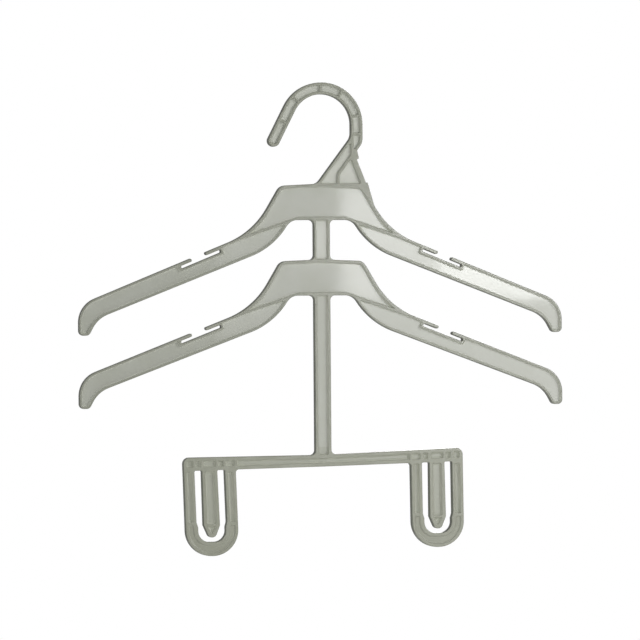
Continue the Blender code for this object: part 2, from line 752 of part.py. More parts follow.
def tongue_edge(side):
    """A clip tongue: straight sides from the bar to the barbs, then a pointed head."""
    half, tip = TONGUE_WIDTH / 2, TONGUE_TIP_WIDTH / 2
    corners = [
        Corner(on_clip(side, -half, ROOT_GAP)),
        Corner(on_clip(side, -half - BARB, BARB_DROP), POCKET_FILLET),
        Corner(on_clip(side, -tip, TONGUE_LENGTH), TONGUE_TIP_FILLET),
        Corner(on_clip(side, tip, TONGUE_LENGTH), TONGUE_TIP_FILLET),
        Corner(on_clip(side, half + BARB, BARB_DROP), POCKET_FILLET),
        Corner(on_clip(side, half, ROOT_GAP)),
    ]
    return in_order(corners, side)


def tongue_pockets(side):
    """The channel down a tongue, and the three-cornered recess in its head."""
    half = TONGUE_WIDTH / 2 - TONGUE_RIM
    root = ROOT_GAP + ROOT_RADIUS
    above, below = BARB_DROP - HEAD_RIB / 2, BARB_DROP + HEAD_RIB / 2
    channel = [
        Corner(on_clip(side, -half, root), SMALL_FILLET),
        Corner(on_clip(side, -half, above), SMALL_FILLET),
        Corner(on_clip(side, half, above), SMALL_FILLET),
        Corner(on_clip(side, half, root), SMALL_FILLET),
    ]
    head = [
        Corner(on_clip(side, -half, below), FINE_FILLET),
        Corner(on_clip(side, 0, TONGUE_LENGTH - TONGUE_RIM), FINE_FILLET),
        Corner(on_clip(side, half, below), FINE_FILLET),
    ]
    return [Pocket(in_order(channel, side)), Pocket(in_order(head, side))]


# The whole moulding


def frame_outline():
    """The outer edge of the moulding, anticlockwise from the right end of the bar."""
    half = STEM_WIDTH / 2
    crown = YOKE_CROWN * half / YOKE_HALF_TOP
    stem = [point(half, LOWER_TOP - crown), point(half, UPPER_BASE)]
    lower = (
        [Corner(point(half, LOWER_BASE), STEM_FILLET)]
        + LOWER.edge()
        + LOWER.yoke_corner()
        + [Corner(at, STEM_FILLET) for at in stem]
    )
    return (
        [Corner(on_bar(half, 0), STEM_FILLET)]
        + lower
        + UPPER.edge()
        + seat_edge()
        + hook_edge()
        + [Corner(NECK_LEFT_FOOT, NECK_FOOT_FILLET)]
        + mirrored(UPPER.edge() + UPPER.yoke_corner())
        + mirrored(lower)
        + [Corner(on_bar(-half, 0), STEM_FILLET)]
        + loop_edge(LEFT)
        + [Corner(under_bar(0))]
        + loop_edge(RIGHT)
    )


def frame_pockets():
    """Every pocket of the moulding."""
    pockets = hook_pockets() + [Pocket(neck_pocket()), Pocket(seat_pocket())]
    for tier in (UPPER, LOWER):
        arm = tier.arm_pocket()
        pockets += [Pocket(arm), Pocket(mirrored(arm)), Pocket(tier.yoke_pocket())]
    pockets += [
        Pocket(stem_pocket(UPPER_BASE, LOWER_TOP)),
        Pocket(stem_pocket(LOWER_BASE, BAR_TOP)),
    ]
    return pockets + bar_pockets() + loop_pockets(LEFT) + loop_pockets(RIGHT)


def frame_cuts():
    """The cuts that bound each piece of the moulding."""
    shank = hook_place(HOOK_RIB_LEADS[0] - HOOK_RIB, 0)
    below_tip = hook_place(hook_length() + HOOK_BAND, HOOK_BAND / 2)
    hook = Cut(shank, heading_of(below_tip, shank) - 90)
    seat = Cut(SEAT_APEX, NECK_UP - SEAT_SEAM_TURN - 90)
    neck = Cut(point(0, UPPER_TOP + SEAT_LEDGE_LIFT + SEAM), -90)
    divide_in = (UPPER.armpit + (0, UPPER_BASE) + YOKE_TOP_CORNER + (0, LOWER_BASE)) / 2
    divide_out = (UPPER.tip_inner + (0, UPPER_BASE) + LOWER.tip_top + (0, LOWER_BASE)) / 2
    divide = Cut(divide_in, heading_of(divide_in, divide_out) - 90)
    upper_stem = Cut(point(0, UPPER_BASE - STUB), -90)
    lower_yoke = Cut(point(0, LOWER_TOP + STUB), -90)
    lower_stem = Cut(point(0, LOWER_BASE - STUB), -90)
    bar = Cut(point(0, BAR_TOP + STUB), -90)
    tips = Cut(point(0, (LOWER_BASE + LOWER.tip_outer[1] + BAR_TOP) / 2), -90)
    left_of_stem = Cut(point(-STEM_WIDTH, 0), 0)
    right_of_stem = across(left_of_stem)
    legs = [
        Cut(under_bar(side * CLIP_PITCH / 2, -LOOP_FILLET - SEAM), under_slope(side) - 90)
        for side in (LEFT, RIGHT)
    ]
    cuts = {
        "hook": [hook],
        "neck": [far_side(hook), seat, neck],
        "size_marker_seat": [far_side(seat), neck],
        "upper_yoke": [far_side(neck), upper_stem],
        "upper_left_arm": [far_side(upper_stem), left_of_stem, across(divide)],
        "upper_right_arm": [far_side(upper_stem), right_of_stem, divide],
        "upper_stem": [far_side(upper_stem), lower_yoke, far_side(left_of_stem), far_side(right_of_stem)],
        "lower_yoke": [far_side(lower_yoke), lower_stem, far_side(divide), far_side(across(divide))],
        "lower_left_arm": [far_side(lower_stem), left_of_stem, far_side(across(divide)), tips],
        "lower_right_arm": [far_side(lower_stem), right_of_stem, far_side(divide), tips],
        "lower_stem": [far_side(lower_stem), bar, far_side(left_of_stem), far_side(right_of_stem)],
        "clip_bar": [far_side(bar)] + legs,
        "left_clip_loop": [far_side(legs[0]), left_of_stem],
        "right_clip_loop": [far_side(legs[1]), right_of_stem],
    }
    return cuts


# Objects and materials


def polypropylene(name):
    """Natural polypropylene as the eye sees it on one member: milky, faintly green and softly shining."""
    material = bpy.data.materials.new(name + "_polypropylene")
    material.use_nodes = True
    shader = material.node_tree.nodes["Principled BSDF"]
    shader.inputs["Base Color"].default_value = (*colour_of(name), 1)
    shader.inputs["Roughness"].default_value = SURFACE_ROUGHNESS
    shader.inputs["Metallic"].default_value = 0
    return material


def colour_of(name):
    """The colour of one member."""
    if "clip" in name:
        return CLIP_COLOUR
    return HEAD_COLOUR if name in ("hook", "neck", "size_marker_seat") else BODY_COLOUR


def add_piece(name, bm, parent, origin=(0, 0, 0)):
    """One named object from a mesh, with its origin put where it turns."""
    bmesh.ops.translate(bm, verts=bm.verts, vec=-Vector(origin))
    mesh = bpy.data.meshes.new(name)
    bm.to_mesh(mesh)
    bm.free()
    mesh.shade_smooth()
    mesh.set_sharp_from_angle(angle=math.radians(SHARP_EDGE))
    mesh.materials.append(polypropylene(name))
    piece = bpy.data.objects.new(name, mesh)
    piece.location = origin
    piece.parent = parent
    bpy.context.collection.objects.link(piece)


def add_tongue(name, side, parent):
    """One clip tongue, its root turned to a half round so that it clears the bar as it bends."""
    bm = moulding(tongue_edge(side), [], tongue_pockets(side))
    x, z = tongue_pivot(side)
    slope = math.radians(under_slope(side))
    for angle in np.linspace(-ROOT_SPREAD, ROOT_SPREAD, ROOT_CUTS):
        lean, lift = math.sin(math.radians(angle)), math.cos(math.radians(angle))
        normal = Vector((-lift * math.sin(slope), lean, lift * math.cos(slope)))
        cut_off(bm, Vector((x, 0, z)) + normal * ROOT_RADIUS, normal)
    add_piece(name, bm, parent, (x, 0, z))


def main():
    """Builds the hanger."""
    for found in list(bpy.data.objects):
        bpy.data.objects.remove(found)
    hanger = bpy.data.objects.new("hanger", None)
    bpy.context.collection.objects.link(hanger)
    openings = [loop_opening(LEFT), loop_opening(RIGHT)]
    frame = moulding(frame_outline(), openings, frame_pockets())
    for name, cuts in frame_cuts().items():
        add_piece(name, parted(frame, cuts), hanger)
    frame.free()
    add_tongue("left_clip_tongue", LEFT, hanger)
    add_tongue("right_clip_tongue", RIGHT, hanger)


main()
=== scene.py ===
"""Dresses the two-tier clothes hanger: one natural polypropylene moulding in plain studio light.

The moulding is drawn as an outline with pockets. A rounded section is carried along every loop of it,
flats close the rims and webs, and the whole is parted into one piece for each node of the frame.
Lengths are in metres and angles in degrees. The origin is the rail seat, +X runs along the arms to the
right, +Y to the back and +Z up.
"""

import logging
import math
from collections.abc import Sequence
from dataclasses import dataclass
from enum import Enum, IntEnum
from typing import Any

import bmesh
import bpy
import numpy as np
import numpy.typing as npt
from mathutils import Matrix, Vector
from mathutils.geometry import delaunay_2d_cdt


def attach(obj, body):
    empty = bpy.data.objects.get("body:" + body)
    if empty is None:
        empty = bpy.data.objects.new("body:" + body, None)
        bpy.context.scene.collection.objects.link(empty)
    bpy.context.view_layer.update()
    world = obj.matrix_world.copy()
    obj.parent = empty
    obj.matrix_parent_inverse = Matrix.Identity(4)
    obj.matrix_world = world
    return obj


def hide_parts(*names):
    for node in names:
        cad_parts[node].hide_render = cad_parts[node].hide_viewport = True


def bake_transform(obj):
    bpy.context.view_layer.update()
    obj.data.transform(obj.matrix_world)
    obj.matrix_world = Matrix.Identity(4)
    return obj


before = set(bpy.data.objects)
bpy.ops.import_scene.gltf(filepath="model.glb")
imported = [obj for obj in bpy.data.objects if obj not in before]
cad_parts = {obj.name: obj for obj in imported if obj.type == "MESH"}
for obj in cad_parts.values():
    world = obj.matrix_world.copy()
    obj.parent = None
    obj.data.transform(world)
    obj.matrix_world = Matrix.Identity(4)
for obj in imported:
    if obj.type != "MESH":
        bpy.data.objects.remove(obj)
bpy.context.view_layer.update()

LOG = logging.getLogger("hanger")
Points = npt.NDArray[np.float64]
Indices = npt.NDArray[np.int64]
Row = tuple[float, float, float]

TINY = 1e-9
LEAST_RADIUS = 0.00002
ARC_SHARE = 0.98
CHORD_ERROR = 0.00001
LEAD_DIGITS = 7
SHARP_ANGLE = 50.0
WHITE = (1.0, 1.0, 1.0, 1.0)
THICKNESS_AND_LIGHT = "thickness_and_painted_light"


class Side(IntEnum):
    """The side of the stem that a clip hangs on, as the sign of its X."""

    LEFT = -1
    RIGHT = 1


class Body(Enum):
    """The bodies of the frame that pieces ride on."""

    FRAME = "frame"
    LEFT_TONGUE = "left_tongue"
    RIGHT_TONGUE = "right_tongue"


# Plane geometry


def point(x: float, z: float) -> Points:
    """A point of the XZ plane."""
    return np.array([x, z], dtype=float)


def unit(heading: float) -> Points:
    """The unit step along a heading, counted from +X towards +Z."""
    return point(math.cos(math.radians(heading)), math.sin(math.radians(heading)))


def heading_of(start: Points, end: Points) -> float:
    """The heading from one point to another."""
    return math.degrees(math.atan2(end[1] - start[1], end[0] - start[0]))


def cross(a: Points, b: Points) -> Points:
    """The turn from one direction to another, as the sine times the lengths."""
    return a[..., 0] * b[..., 1] - a[..., 1] * b[..., 0]


@dataclass(frozen=True)
class Line:
    """A line of the XZ plane: a point of it and its heading, counted from +X towards +Z."""

    at: Points
    heading: float

    def beside(self, distance: float) -> "Line":
        """The same line moved to its left."""
        return Line(self.at + distance * unit(self.heading + 90), self.heading)

    def meet(self, other: "Line") -> Points:
        """Where the line crosses another."""
        step, away = unit(self.heading), unit(other.heading)
        return self.at + cross(other.at - self.at, away) / cross(step, away) * step


def upright(x: float) -> Line:
    """The line straight up at one place along the arms."""
    return Line(point(x, 0), 90)


def level(z: float) -> Line:
    """The line straight across at one height."""
    return Line(point(0, z), 0)


@dataclass(frozen=True)
class Outline:
    """A closed loop in the XZ plane, anticlockwise: its corners and the radius that rounds each of them."""

    at: Points
    radius: Points

    @classmethod
    def of(cls, *corners: tuple[Points, float]) -> "Outline":
        """An outline from pairs of corner and radius."""
        return cls(np.array([c[0] for c in corners]), np.array([c[1] for c in corners], dtype=float))

    @classmethod
    def between(cls, first: Line, *sides: tuple[Line, float]) -> "Outline":
        """The corners where each line meets the one before it, with the radius given next to the line."""
        lines = [first, *[line for line, _ in sides]]
        return cls.of(*[(line.meet(after), radius) for line, (after, radius) in zip(lines, sides)])

    @classmethod
    def joined(cls, *runs: "Outline") -> "Outline":
        """Several runs of corners, end to end."""
        return cls(np.concatenate([r.at for r in runs]), np.concatenate([r.radius for r in runs]))

    def turned(self) -> "Outline":
        """The same corners in the other order."""
        return Outline(self.at[::-1], self.radius[::-1])

    def mirrored(self) -> "Outline":
        """The same corners on the other side of the stem, still anticlockwise."""
        return Outline(self.at[::-1] * (-1, 1), self.radius[::-1])

    def lifted(self, height: float) -> "Outline":
        """The same corners moved up."""
        return Outline(self.at + (0, height), self.radius)

    def ends_rounded(self, radius: float) -> "Outline":
        """The same run with its first and last corner rounded."""
        rounded = self.radius.copy()
        rounded[[0, -1]] = radius
        return Outline(self.at, rounded)

    def inset(self, distance: float) -> "Outline":
        """The outline moved inwards all round.

        Each corner moves along its bisector by distance / cos(half the turn). The radius of an outward
        corner shrinks by the distance and that of an inward corner grows by it.

        Args:
            distance: how far every edge moves; below 0 the outline grows.

        Returns:
            An outline with the same number of corners.
        """
        step = np.roll(self.at, -1, axis=0) - self.at
        step /= np.linalg.norm(step, axis=1)[:, None]
        normal = np.stack([-step[:, 1], step[:, 0]], axis=1)
        before = np.roll(normal, 1, axis=0)
        at = self.at + distance * (before + normal) / (1 + (before * normal).sum(axis=1))[:, None]
        outward = cross(np.roll(step, 1, axis=0), step) > 0
        grown = np.maximum(self.radius + np.where(outward, -distance, distance), LEAST_RADIUS)
        return Outline(at, np.where(self.radius > 0, grown, 0.0))

    def _angles(self) -> tuple[Points, Points, Points, Points]:
        """The unit steps back and ahead, the length ahead and half the inner angle of each corner."""
        back = np.roll(self.at, 1, axis=0) - self.at
        ahead = np.roll(self.at, -1, axis=0) - self.at
        length = np.linalg.norm(ahead, axis=1)
        back /= np.linalg.norm(back, axis=1)[:, None]
        ahead /= length[:, None]
        half = np.arccos(np.clip((back * ahead).sum(axis=1), -1, 1)) / 2
        return back, ahead, length, half

    def counts(self) -> Indices:
        """How many points each corner takes so that its arc stays within the chord error."""
        half = self._angles()[3]
        size = np.maximum(self.radius, 2 * CHORD_ERROR)
        steps = np.ceil((np.pi - 2 * half) / (2 * np.arccos(1 - CHORD_ERROR / size)))
        return np.where(self.radius > 0, np.maximum(steps, 2) + 1, 1).astype(np.int64)

    def ring(self, counts: Indices) -> Points:
        """The points of the outline with every corner rounded as far as its edges allow.

        A corner with half angle h and radius r has its arc centre r / sin(h) up its bisector, and the arc
        runs through a turn of pi - 2h about that centre. The arc length is cut where two arcs would meet.

        Args:
            counts: points for each corner, shared by all the rings that are to be joined.

        Returns:
            An array of points, one row each.
        """
        back, ahead, length, half = self._angles()
        cosine = np.maximum(np.cos(half), TINY)
        tangent = self.radius / np.tan(half)
        share = np.minimum(1, ARC_SHARE * length / np.maximum(tangent + np.roll(tangent, -1), TINY))
        tangent = tangent * np.minimum(share, np.roll(share, 1))
        inward = (back + ahead) / (2 * cosine[:, None])
        centre = self.at + inward * (tangent / cosine)[:, None]
        size = tangent * np.tan(half)
        middle = np.arctan2(-inward[:, 1], -inward[:, 0])
        turn = np.sign(cross(-back, ahead)) * (np.pi - 2 * half)
        corner = np.repeat(np.arange(len(counts)), counts)
        place = np.arange(len(corner)) - np.repeat(np.cumsum(counts) - counts, counts)
        angle = middle[corner] + turn[corner] * (place / np.maximum(counts[corner] - 1, 1) - 0.5)
        return centre[corner] + size[corner, None] * np.stack([np.cos(angle), np.sin(angle)], axis=1)


@dataclass(frozen=True)
class Pocket:
    """A recess sunk from both faces, leaving twice the floor between them."""

    outline: Outline
    floor: float
    root: float = 0.0004


@dataclass(frozen=True)
class Cut:
    """A parting plane square to the faces; the side that the heading points to is taken away."""

    at: Points
    heading: float

    @classmethod
    def under(cls, height: float) -> "Cut":
        """The level plane that takes away all that is below it."""
        return cls(point(0, height), -90)

    def far(self) -> "Cut":
        """The same plane with the other side taken away."""
        return Cut(self.at, self.heading + 180)

    def across(self) -> "Cut":
        """The same plane on the other side of the stem."""
        return Cut(self.at * (-1, 1), 180 - self.heading)


# The moulding


@dataclass(frozen=True)
class Section:
    """The cross-section that every member shares: rims as deep as the moulding, standing on a thin web."""

    depth: float = 0.0060
    web: float = 0.0012
    draft: float = 0.0003
    edge_round: float = 0.0004
    mouth_round: float = 0.00025
    soft_root: float = 0.0008
    strip: float = 0.00008
    ridge: float = 0.00004
    ridge_half: float = 0.0002
    # Marks of the pocket walls, which the finish paints paler as painted light; shallow recesses get less
    # of it.
    wall_light_mark: float = 0.5
    shallow_wall_light_mark: float = 0.75
    wall_dulls: float = 0.2
    steps: int = 3
    pocket_fillet: float = 0.0010
    small_fillet: float = 0.0008
    fine_fillet: float = 0.0004

    @property
    def floor(self) -> float:
        """The distance from the middle of the moulding to the face of the web."""
        return self.web / 2

    def edge_profile(self) -> Points:
        """The outside wall from the front face to the back face.

        A quarter round of radius r leaves the face: inset r(1 - sin a) and depth r(1 - cos a), with a from
        0 to a quarter turn. The wall then runs straight to the low ridge where the mould's halves met, and
        the same profile mirrored reaches the back face. A narrow strip keeps the faces flat.

        Returns:
            Rows of (inset, y, mark), where a rim's face has the mark 1 and its wall 2; the finish paints
            the wall darkest, as painted shade.
        """
        a = np.linspace(0, np.pi / 2, self.steps + 1)
        r, half = self.edge_round, self.depth / 2
        # The mark climbs to 2 on the outside wall, which the finish paints darkest as painted shade.
        round_off = np.stack([r * (1 - np.sin(a)), r * (1 - np.cos(a)) - half, 1 + np.sin(a)], axis=1)
        front = np.vstack([[[r + self.strip, -half, 1]], round_off, [[0, -self.ridge_half, 2]]])
        return np.vstack([front, [[-self.ridge, 0, 2]], front[::-1] * (1, -1, 1)])

    def pocket_profile(self, floor: float, root: float) -> Points:
        """The wall of a pocket from the rim's face down to the web.

        The mouth is a quarter round outwards, the wall leans by the draft, and the root is a quarter hollow
        of radius f: inset d + f(1 - cos a) and height f(1 - sin a) above the web.

        Args:
            floor: the distance from the middle of the moulding to the face of the web.
            root: the radius of the hollow at the wall's root.

        Returns:
            Rows of (inset, distance from the middle of the moulding, mark), where a rim's face has the mark
            1, the wall the mark that the finish paints paler as painted light, and the web 0. A recess too
            shallow to reach the web keeps the rim's mark on its floor, and its wall gets weaker painted
            light.
        """
        a = np.linspace(0, np.pi / 2, self.steps + 1)
        m, half = self.mouth_round, self.depth / 2
        deep = half - floor
        f = min(root, deep - m - self.strip)
        d = self.draft * deep / (half - self.floor)
        # Pocket walls take the mark of painted light, which fades out down the root towards the web.
        web, wall = (0.0, self.wall_light_mark) if floor < self.web else (1.0, self.shallow_wall_light_mark)
        thick = wall + (1 - wall) * np.cos(a)
        mouth = np.stack([m * (np.sin(a) - 1), half - m * (1 - np.cos(a)), thick], axis=1)
        thin = web + (wall - web) * np.maximum(np.cos(a), self.wall_dulls)
        hollow = np.stack([d + f * (1 - np.cos(a)), floor + f * (1 - np.sin(a)), thin], axis=1)
        return np.vstack([[[-m - self.strip, half, 1]], mouth, hollow, [[d + f + self.strip, floor, web]]])


SECTION = Section()


class Shell:
    """Vertices and faces of one closed surface, gathered as whole arrays."""

    def __init__(self) -> None:
        """Starts empty."""
        self.vertices: list[Points] = []
        self.thickness: list[Points] = []
        self.faces: list[Indices] = []
        self.count = 0

    def sweep(self, outline: Outline, profile: Points, way: int) -> tuple[Indices, Points]:
        """Carries a profile along an outline: the surface is P(u, v) = outline inset by profile(v), at u.

        Args:
            outline: the path, which closes on itself.
            profile: rows of (inset, y, mark of thickness and painted light).
            way: 1 where the inset goes inwards, and -1 where it goes outwards.

        Returns:
            The numbers of the vertices, one row for each row of the profile, and their places in XZ.
        """
        counts = outline.counts()
        rings = np.stack([outline.inset(way * d).ring(counts) for d in profile[:, 0]])
        rows, columns = rings.shape[:2]
        y = np.broadcast_to(profile[:, 1, None], (rows, columns))
        self.vertices.append(np.stack([rings[..., 0], y, rings[..., 1]], axis=-1).reshape(-1, 3))
        self.thickness.append(np.repeat(profile[:, 2], columns))
        numbers = self.count + np.arange(rows * columns).reshape(rows, columns)
        after = np.roll(numbers, -1, axis=1)
        quads = np.stack([numbers[:-1], after[:-1], after[1:], numbers[1:]], axis=-1)
        self.faces.append(quads.reshape(-1, 4))
        self.count += rows * columns
        return numbers, rings

    @staticmethod
    def flat(loops: Sequence[Points]) -> Indices:
        """Triangles between the first loop and the loops inside it, as numbers into all their points."""
        starts = np.cumsum([0] + [len(loop) for loop in loops])
        rings = [list(range(a, b)) for a, b in zip(starts, starts[1:])]
        corners = [Vector(p) for p in np.concatenate(loops)]
        _, _, faces, origins, _, owners = delaunay_2d_cdt(corners, [], rings, 1, TINY)
        return np.array([[origins[v][0] for v in f] for f, o in zip(faces, owners) if o == [0]])

    def solid(self) -> bmesh.types.BMesh:
        """The surface as an editable mesh with its faces turned outwards."""
        mesh = bpy.data.meshes.new("shell")
        faces = [face for block in self.faces for face in block.tolist()]
        mesh.from_pydata(np.concatenate(self.vertices).tolist(), [], faces)
        seen = mesh.attributes.new(THICKNESS_AND_LIGHT, "FLOAT", "POINT")
        seen.data.foreach_set("value", np.concatenate(self.thickness))
        body = bmesh.new()
        body.from_mesh(mesh)
        bpy.data.meshes.remove(mesh)
        bmesh.ops.recalc_face_normals(body, faces=body.faces)
        return body


class Moulding:
    """A flat moulding with openings through it and pockets in both of its faces."""

    def __init__(self, plan: Outline, openings: Sequence[Outline], pockets: Sequence[Pocket]) -> None:
        """Carries the section along every loop and closes the rims and webs with flats.

        Args:
            plan: the outer edge.
            openings: the holes that go through.
            pockets: the recesses, which are the same from both faces.
        """
        shell = Shell()
        front: list[Indices] = []
        rear: list[Indices] = []
        rims: list[Points] = []
        for outline, way in [(plan, 1)] + [(opening, -1) for opening in openings]:
            numbers, rings = shell.sweep(outline, SECTION.edge_profile(), way)
            front.append(numbers[0])
            rear.append(numbers[-1])
            rims.append(rings[0])
        for pocket in pockets:
            profile = SECTION.pocket_profile(pocket.floor, pocket.root)
            for loops, face in ((front, -1), (rear, 1)):
                numbers, rings = shell.sweep(pocket.outline, profile * (1, face, 1), 1)
                loops.append(numbers[0])
                shell.faces.append(numbers[-1][Shell.flat([rings[-1]])])
            rims.append(rings[0])
        triangles = Shell.flat(rims)
        shell.faces += [np.concatenate(loops)[triangles] for loops in (front, rear)]
        self.body = shell.solid()

    def part(self, name: str, cuts: Sequence[Cut]) -> bpy.types.Object:
        """Parts one piece off the moulding and closes it where it was cut.

        Args:
            name: the piece's name.
            cuts: the planes that bound it.

        Returns:
            The finished object, at the origin.
        """
        piece = self.body.copy()
        for cut in cuts:
            (x, z), (nx, nz) = cut.at, unit(cut.heading)
            everything = piece.verts[:] + piece.edges[:] + piece.faces[:]
            plane = {"plane_co": (x, 0, z), "plane_no": (nx, 0, nz)}
            bmesh.ops.bisect_plane(piece, geom=everything, dist=TINY, clear_outer=True, **plane)
            bmesh.ops.holes_fill(piece, edges=[e for e in piece.edges if e.is_boundary], sides=0)
        mesh = bpy.data.meshes.new(name)
        piece.to_mesh(mesh)
        piece.free()
        mesh.shade_smooth()
        mesh.set_sharp_from_angle(angle=math.radians(SHARP_ANGLE))
        made = bpy.data.objects.new(name, mesh)
        bpy.context.collection.objects.link(made)
        return made


# Finishes


def linear(colour: str) -> tuple[float, float, float, float]:
    """An sRGB hex colour as linear red, green, blue and alpha."""
    parts = np.array([int(colour[i:i + 2], 16) for i in (1, 3, 5)]) / 255
    red, green, blue = np.where(parts <= 0.04045, parts / 12.92, ((parts + 0.055) / 1.055) ** 2.4)
    return float(red), float(green), float(blue), 1.0


def per_mm(size: float) -> float:
    """The scale of a pattern whose features are so many millimetres across."""
    return 1000 / size


def feed(node: bpy.types.Node, inputs: dict[Any, Any]) -> None:
    """Links each output that is given to its input, and sets each fixed value on its socket."""
    for socket, value in inputs.items():
        if isinstance(value, bpy.types.NodeSocket):
            node.id_data.links.new(value, node.inputs[socket])
        else:
            node.inputs[socket].default_value = value


def add_node(
    tree: bpy.types.NodeTree, kind: str, inputs: dict[Any, Any], **settings: Any
) -> bpy.types.Node:
    """Adds a shader node.

    Args:
        tree: the node tree.
        kind: the node's type, without the words that all shader nodes share.
        inputs: what each input gets, an output or a fixed value.
        settings: the node's own settings.

    Returns:
        The node.
    """
    made = tree.nodes.new(f"ShaderNode{kind}")
    for setting, value in settings.items():
        setattr(made, setting, value)
    feed(made, inputs)
    return made


def new_material(name: str) -> tuple[bpy.types.Material, bpy.types.Node]:
    """A material and the shader that it starts with."""
    made = bpy.data.materials.new(name)
    made.use_nodes = True
    return made, made.node_tree.nodes["Principled BSDF"]


@dataclass(frozen=True)
class NaturalPolypropylene:
    """Unpigmented polypropylene, injection moulded against a polished tool.

    Thin webs are painted pale and milky, as painted light that stands in for the light they let through,
    and the walls of their pockets are painted paler still, as painted light that stands in for light
    scattered out of the web; these walls hardly shine. Rims keep the plastic's greyer, greener look, and
    outside walls are painted darkest, as painted shade. A polished web mirrors the lamps, and the rest is
    rubbed. The melt leaves faint clouds and a slow ripple in the surface.
    """

    name: str
    # Painted light and shade: webs are painted pale for light let through them, pocket walls paler still
    # for scattered light, and outside walls darkest as shade.
    web: str = "#b1b3aa"
    painted_wall_light: str = "#dddfd5"
    rim: str = "#8c8e81"
    wall: str = "#7f8276"
    cloud: str = "#a7a99c"
    cloud_mm: float = 14.0
    cloud_detail: float = 3.0
    cloud_range: tuple[float, float] = (0.35, 0.75)
    cloud_share: float = 0.45
    grain_mm: float = 1.6
    grain_detail: float = 2.0
    grain_range: tuple[float, float] = (0.3, 0.7)
    rub: tuple[float, float] = (0.9, 1.1)
    ripple_mm: float = 9.0
    ripple_detail: float = 1.0
    ripple_height: float = 0.00001
    gloss: tuple[float, float] = (0.05, 0.20)
    shine: tuple[float, float] = (0.5, 0.1)
    ior: float = 1.49

    def material(self) -> bpy.types.Material:
        """Builds the material.

        Returns:
            A material that reads the marks of thickness and painted light written on the mesh, which set
            its painted light and shade and how polished it is, and Object coordinates, where noise at the
            size of flow marks clouds it.
        """
        made, shader = new_material(self.name)
        tree = made.node_tree
        place = add_node(tree, "TexCoord", {}).outputs["Object"]
        seen = add_node(tree, "Attribute", {}, attribute_name=THICKNESS_AND_LIGHT).outputs["Fac"]

        def noise(size: float, detail: float) -> bpy.types.NodeSocket:
            """Noise with features so many millimetres across."""
            inputs = {"Vector": place, "Scale": per_mm(size), "Detail": detail}
            return add_node(tree, "TexNoise", inputs).outputs[0]

        def ramp(
            source: bpy.types.NodeSocket, span: tuple[float, float], low: Any = 0.0, high: float = 1.0
        ) -> bpy.types.NodeSocket:
            """A value that goes from low, which may be an output, to high as the source crosses a span."""
            inputs = {"From Min": span[0], "From Max": span[1], "To Min": low, "To Max": high}
            return add_node(tree, "MapRange", {"Value": source, **inputs}).outputs[0]

        wall, edge = SECTION.wall_light_mark, SECTION.wall_light_mark * SECTION.wall_dulls
        cloud = noise(self.cloud_mm, self.cloud_detail)
        tone: Any = linear(self.web)
        # The marks on the mesh mix painted light and shade into the plastic's tone; the clouds are the
        # melt's own.
        for colour, share in (
            # Painted light: pocket walls painted paler than the web.
            (self.painted_wall_light, ramp(seen, (0.0, wall))),
            (self.rim, ramp(seen, (wall, 1.0))),
            # Painted shade: outside walls painted darkest.
            (self.wall, ramp(seen, (1.0, 2.0))),
            (self.cloud, ramp(cloud, self.cloud_range, high=self.cloud_share)),
        ):
            mixed = add_node(tree, "Mix", {0: share, 6: tone, 7: linear(colour)}, data_type="RGBA")
            tone = mixed.outputs[2]
        polish, fade = (ramp(seen, (0.0, edge), *ends) for ends in (self.gloss, self.shine))
        rubbed = ramp(noise(self.grain_mm, self.grain_detail), self.grain_range, *self.rub)
        rough = add_node(tree, "Math", {0: polish, 1: rubbed}, operation="MULTIPLY")
        ripple = noise(self.ripple_mm, self.ripple_detail)
        bend = add_node(tree, "Bump", {"Distance": self.ripple_height, "Height": ripple})
        feed(shader, {
            "Base Color": tone,
            "Roughness": rough.outputs[0],
            "Normal": bend.outputs[0],
            "IOR": self.ior,
            "Specular IOR Level": ramp(seen, (wall, 1.0), fade, self.shine[0]),
        })
        return made


# Sub-assemblies


@dataclass
class SubAssembly:
    """Members of the moulding that are parted and dressed together."""

    finish: NaturalPolypropylene

    def dress(self, piece: bpy.types.Object, node: str, material: bpy.types.Material) -> None:
        """Gives a piece its material and puts it in place of its node.

        Args:
            piece: the finished mesh object.
            node: the node of the frame that it stands for.
            material: the finish.
        """
        piece.data.materials.append(material)
        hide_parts(node)
        LOG.info("%s: %d faces", piece.name, len(piece.data.polygons))

    def build(self, moulding: Moulding, cuts: dict[str, list[Cut]]) -> None:
        """Parts the members off the moulding and dresses them.

        Args:
            moulding: the whole moulding.
            cuts: the planes that bound each member, by node.
        """
        material = self.finish.material()
        for node, planes in cuts.items():
            piece = moulding.part(f"{node}_moulded", planes)
            self.dress(piece, node, material)
            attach(piece, Body.FRAME.value)


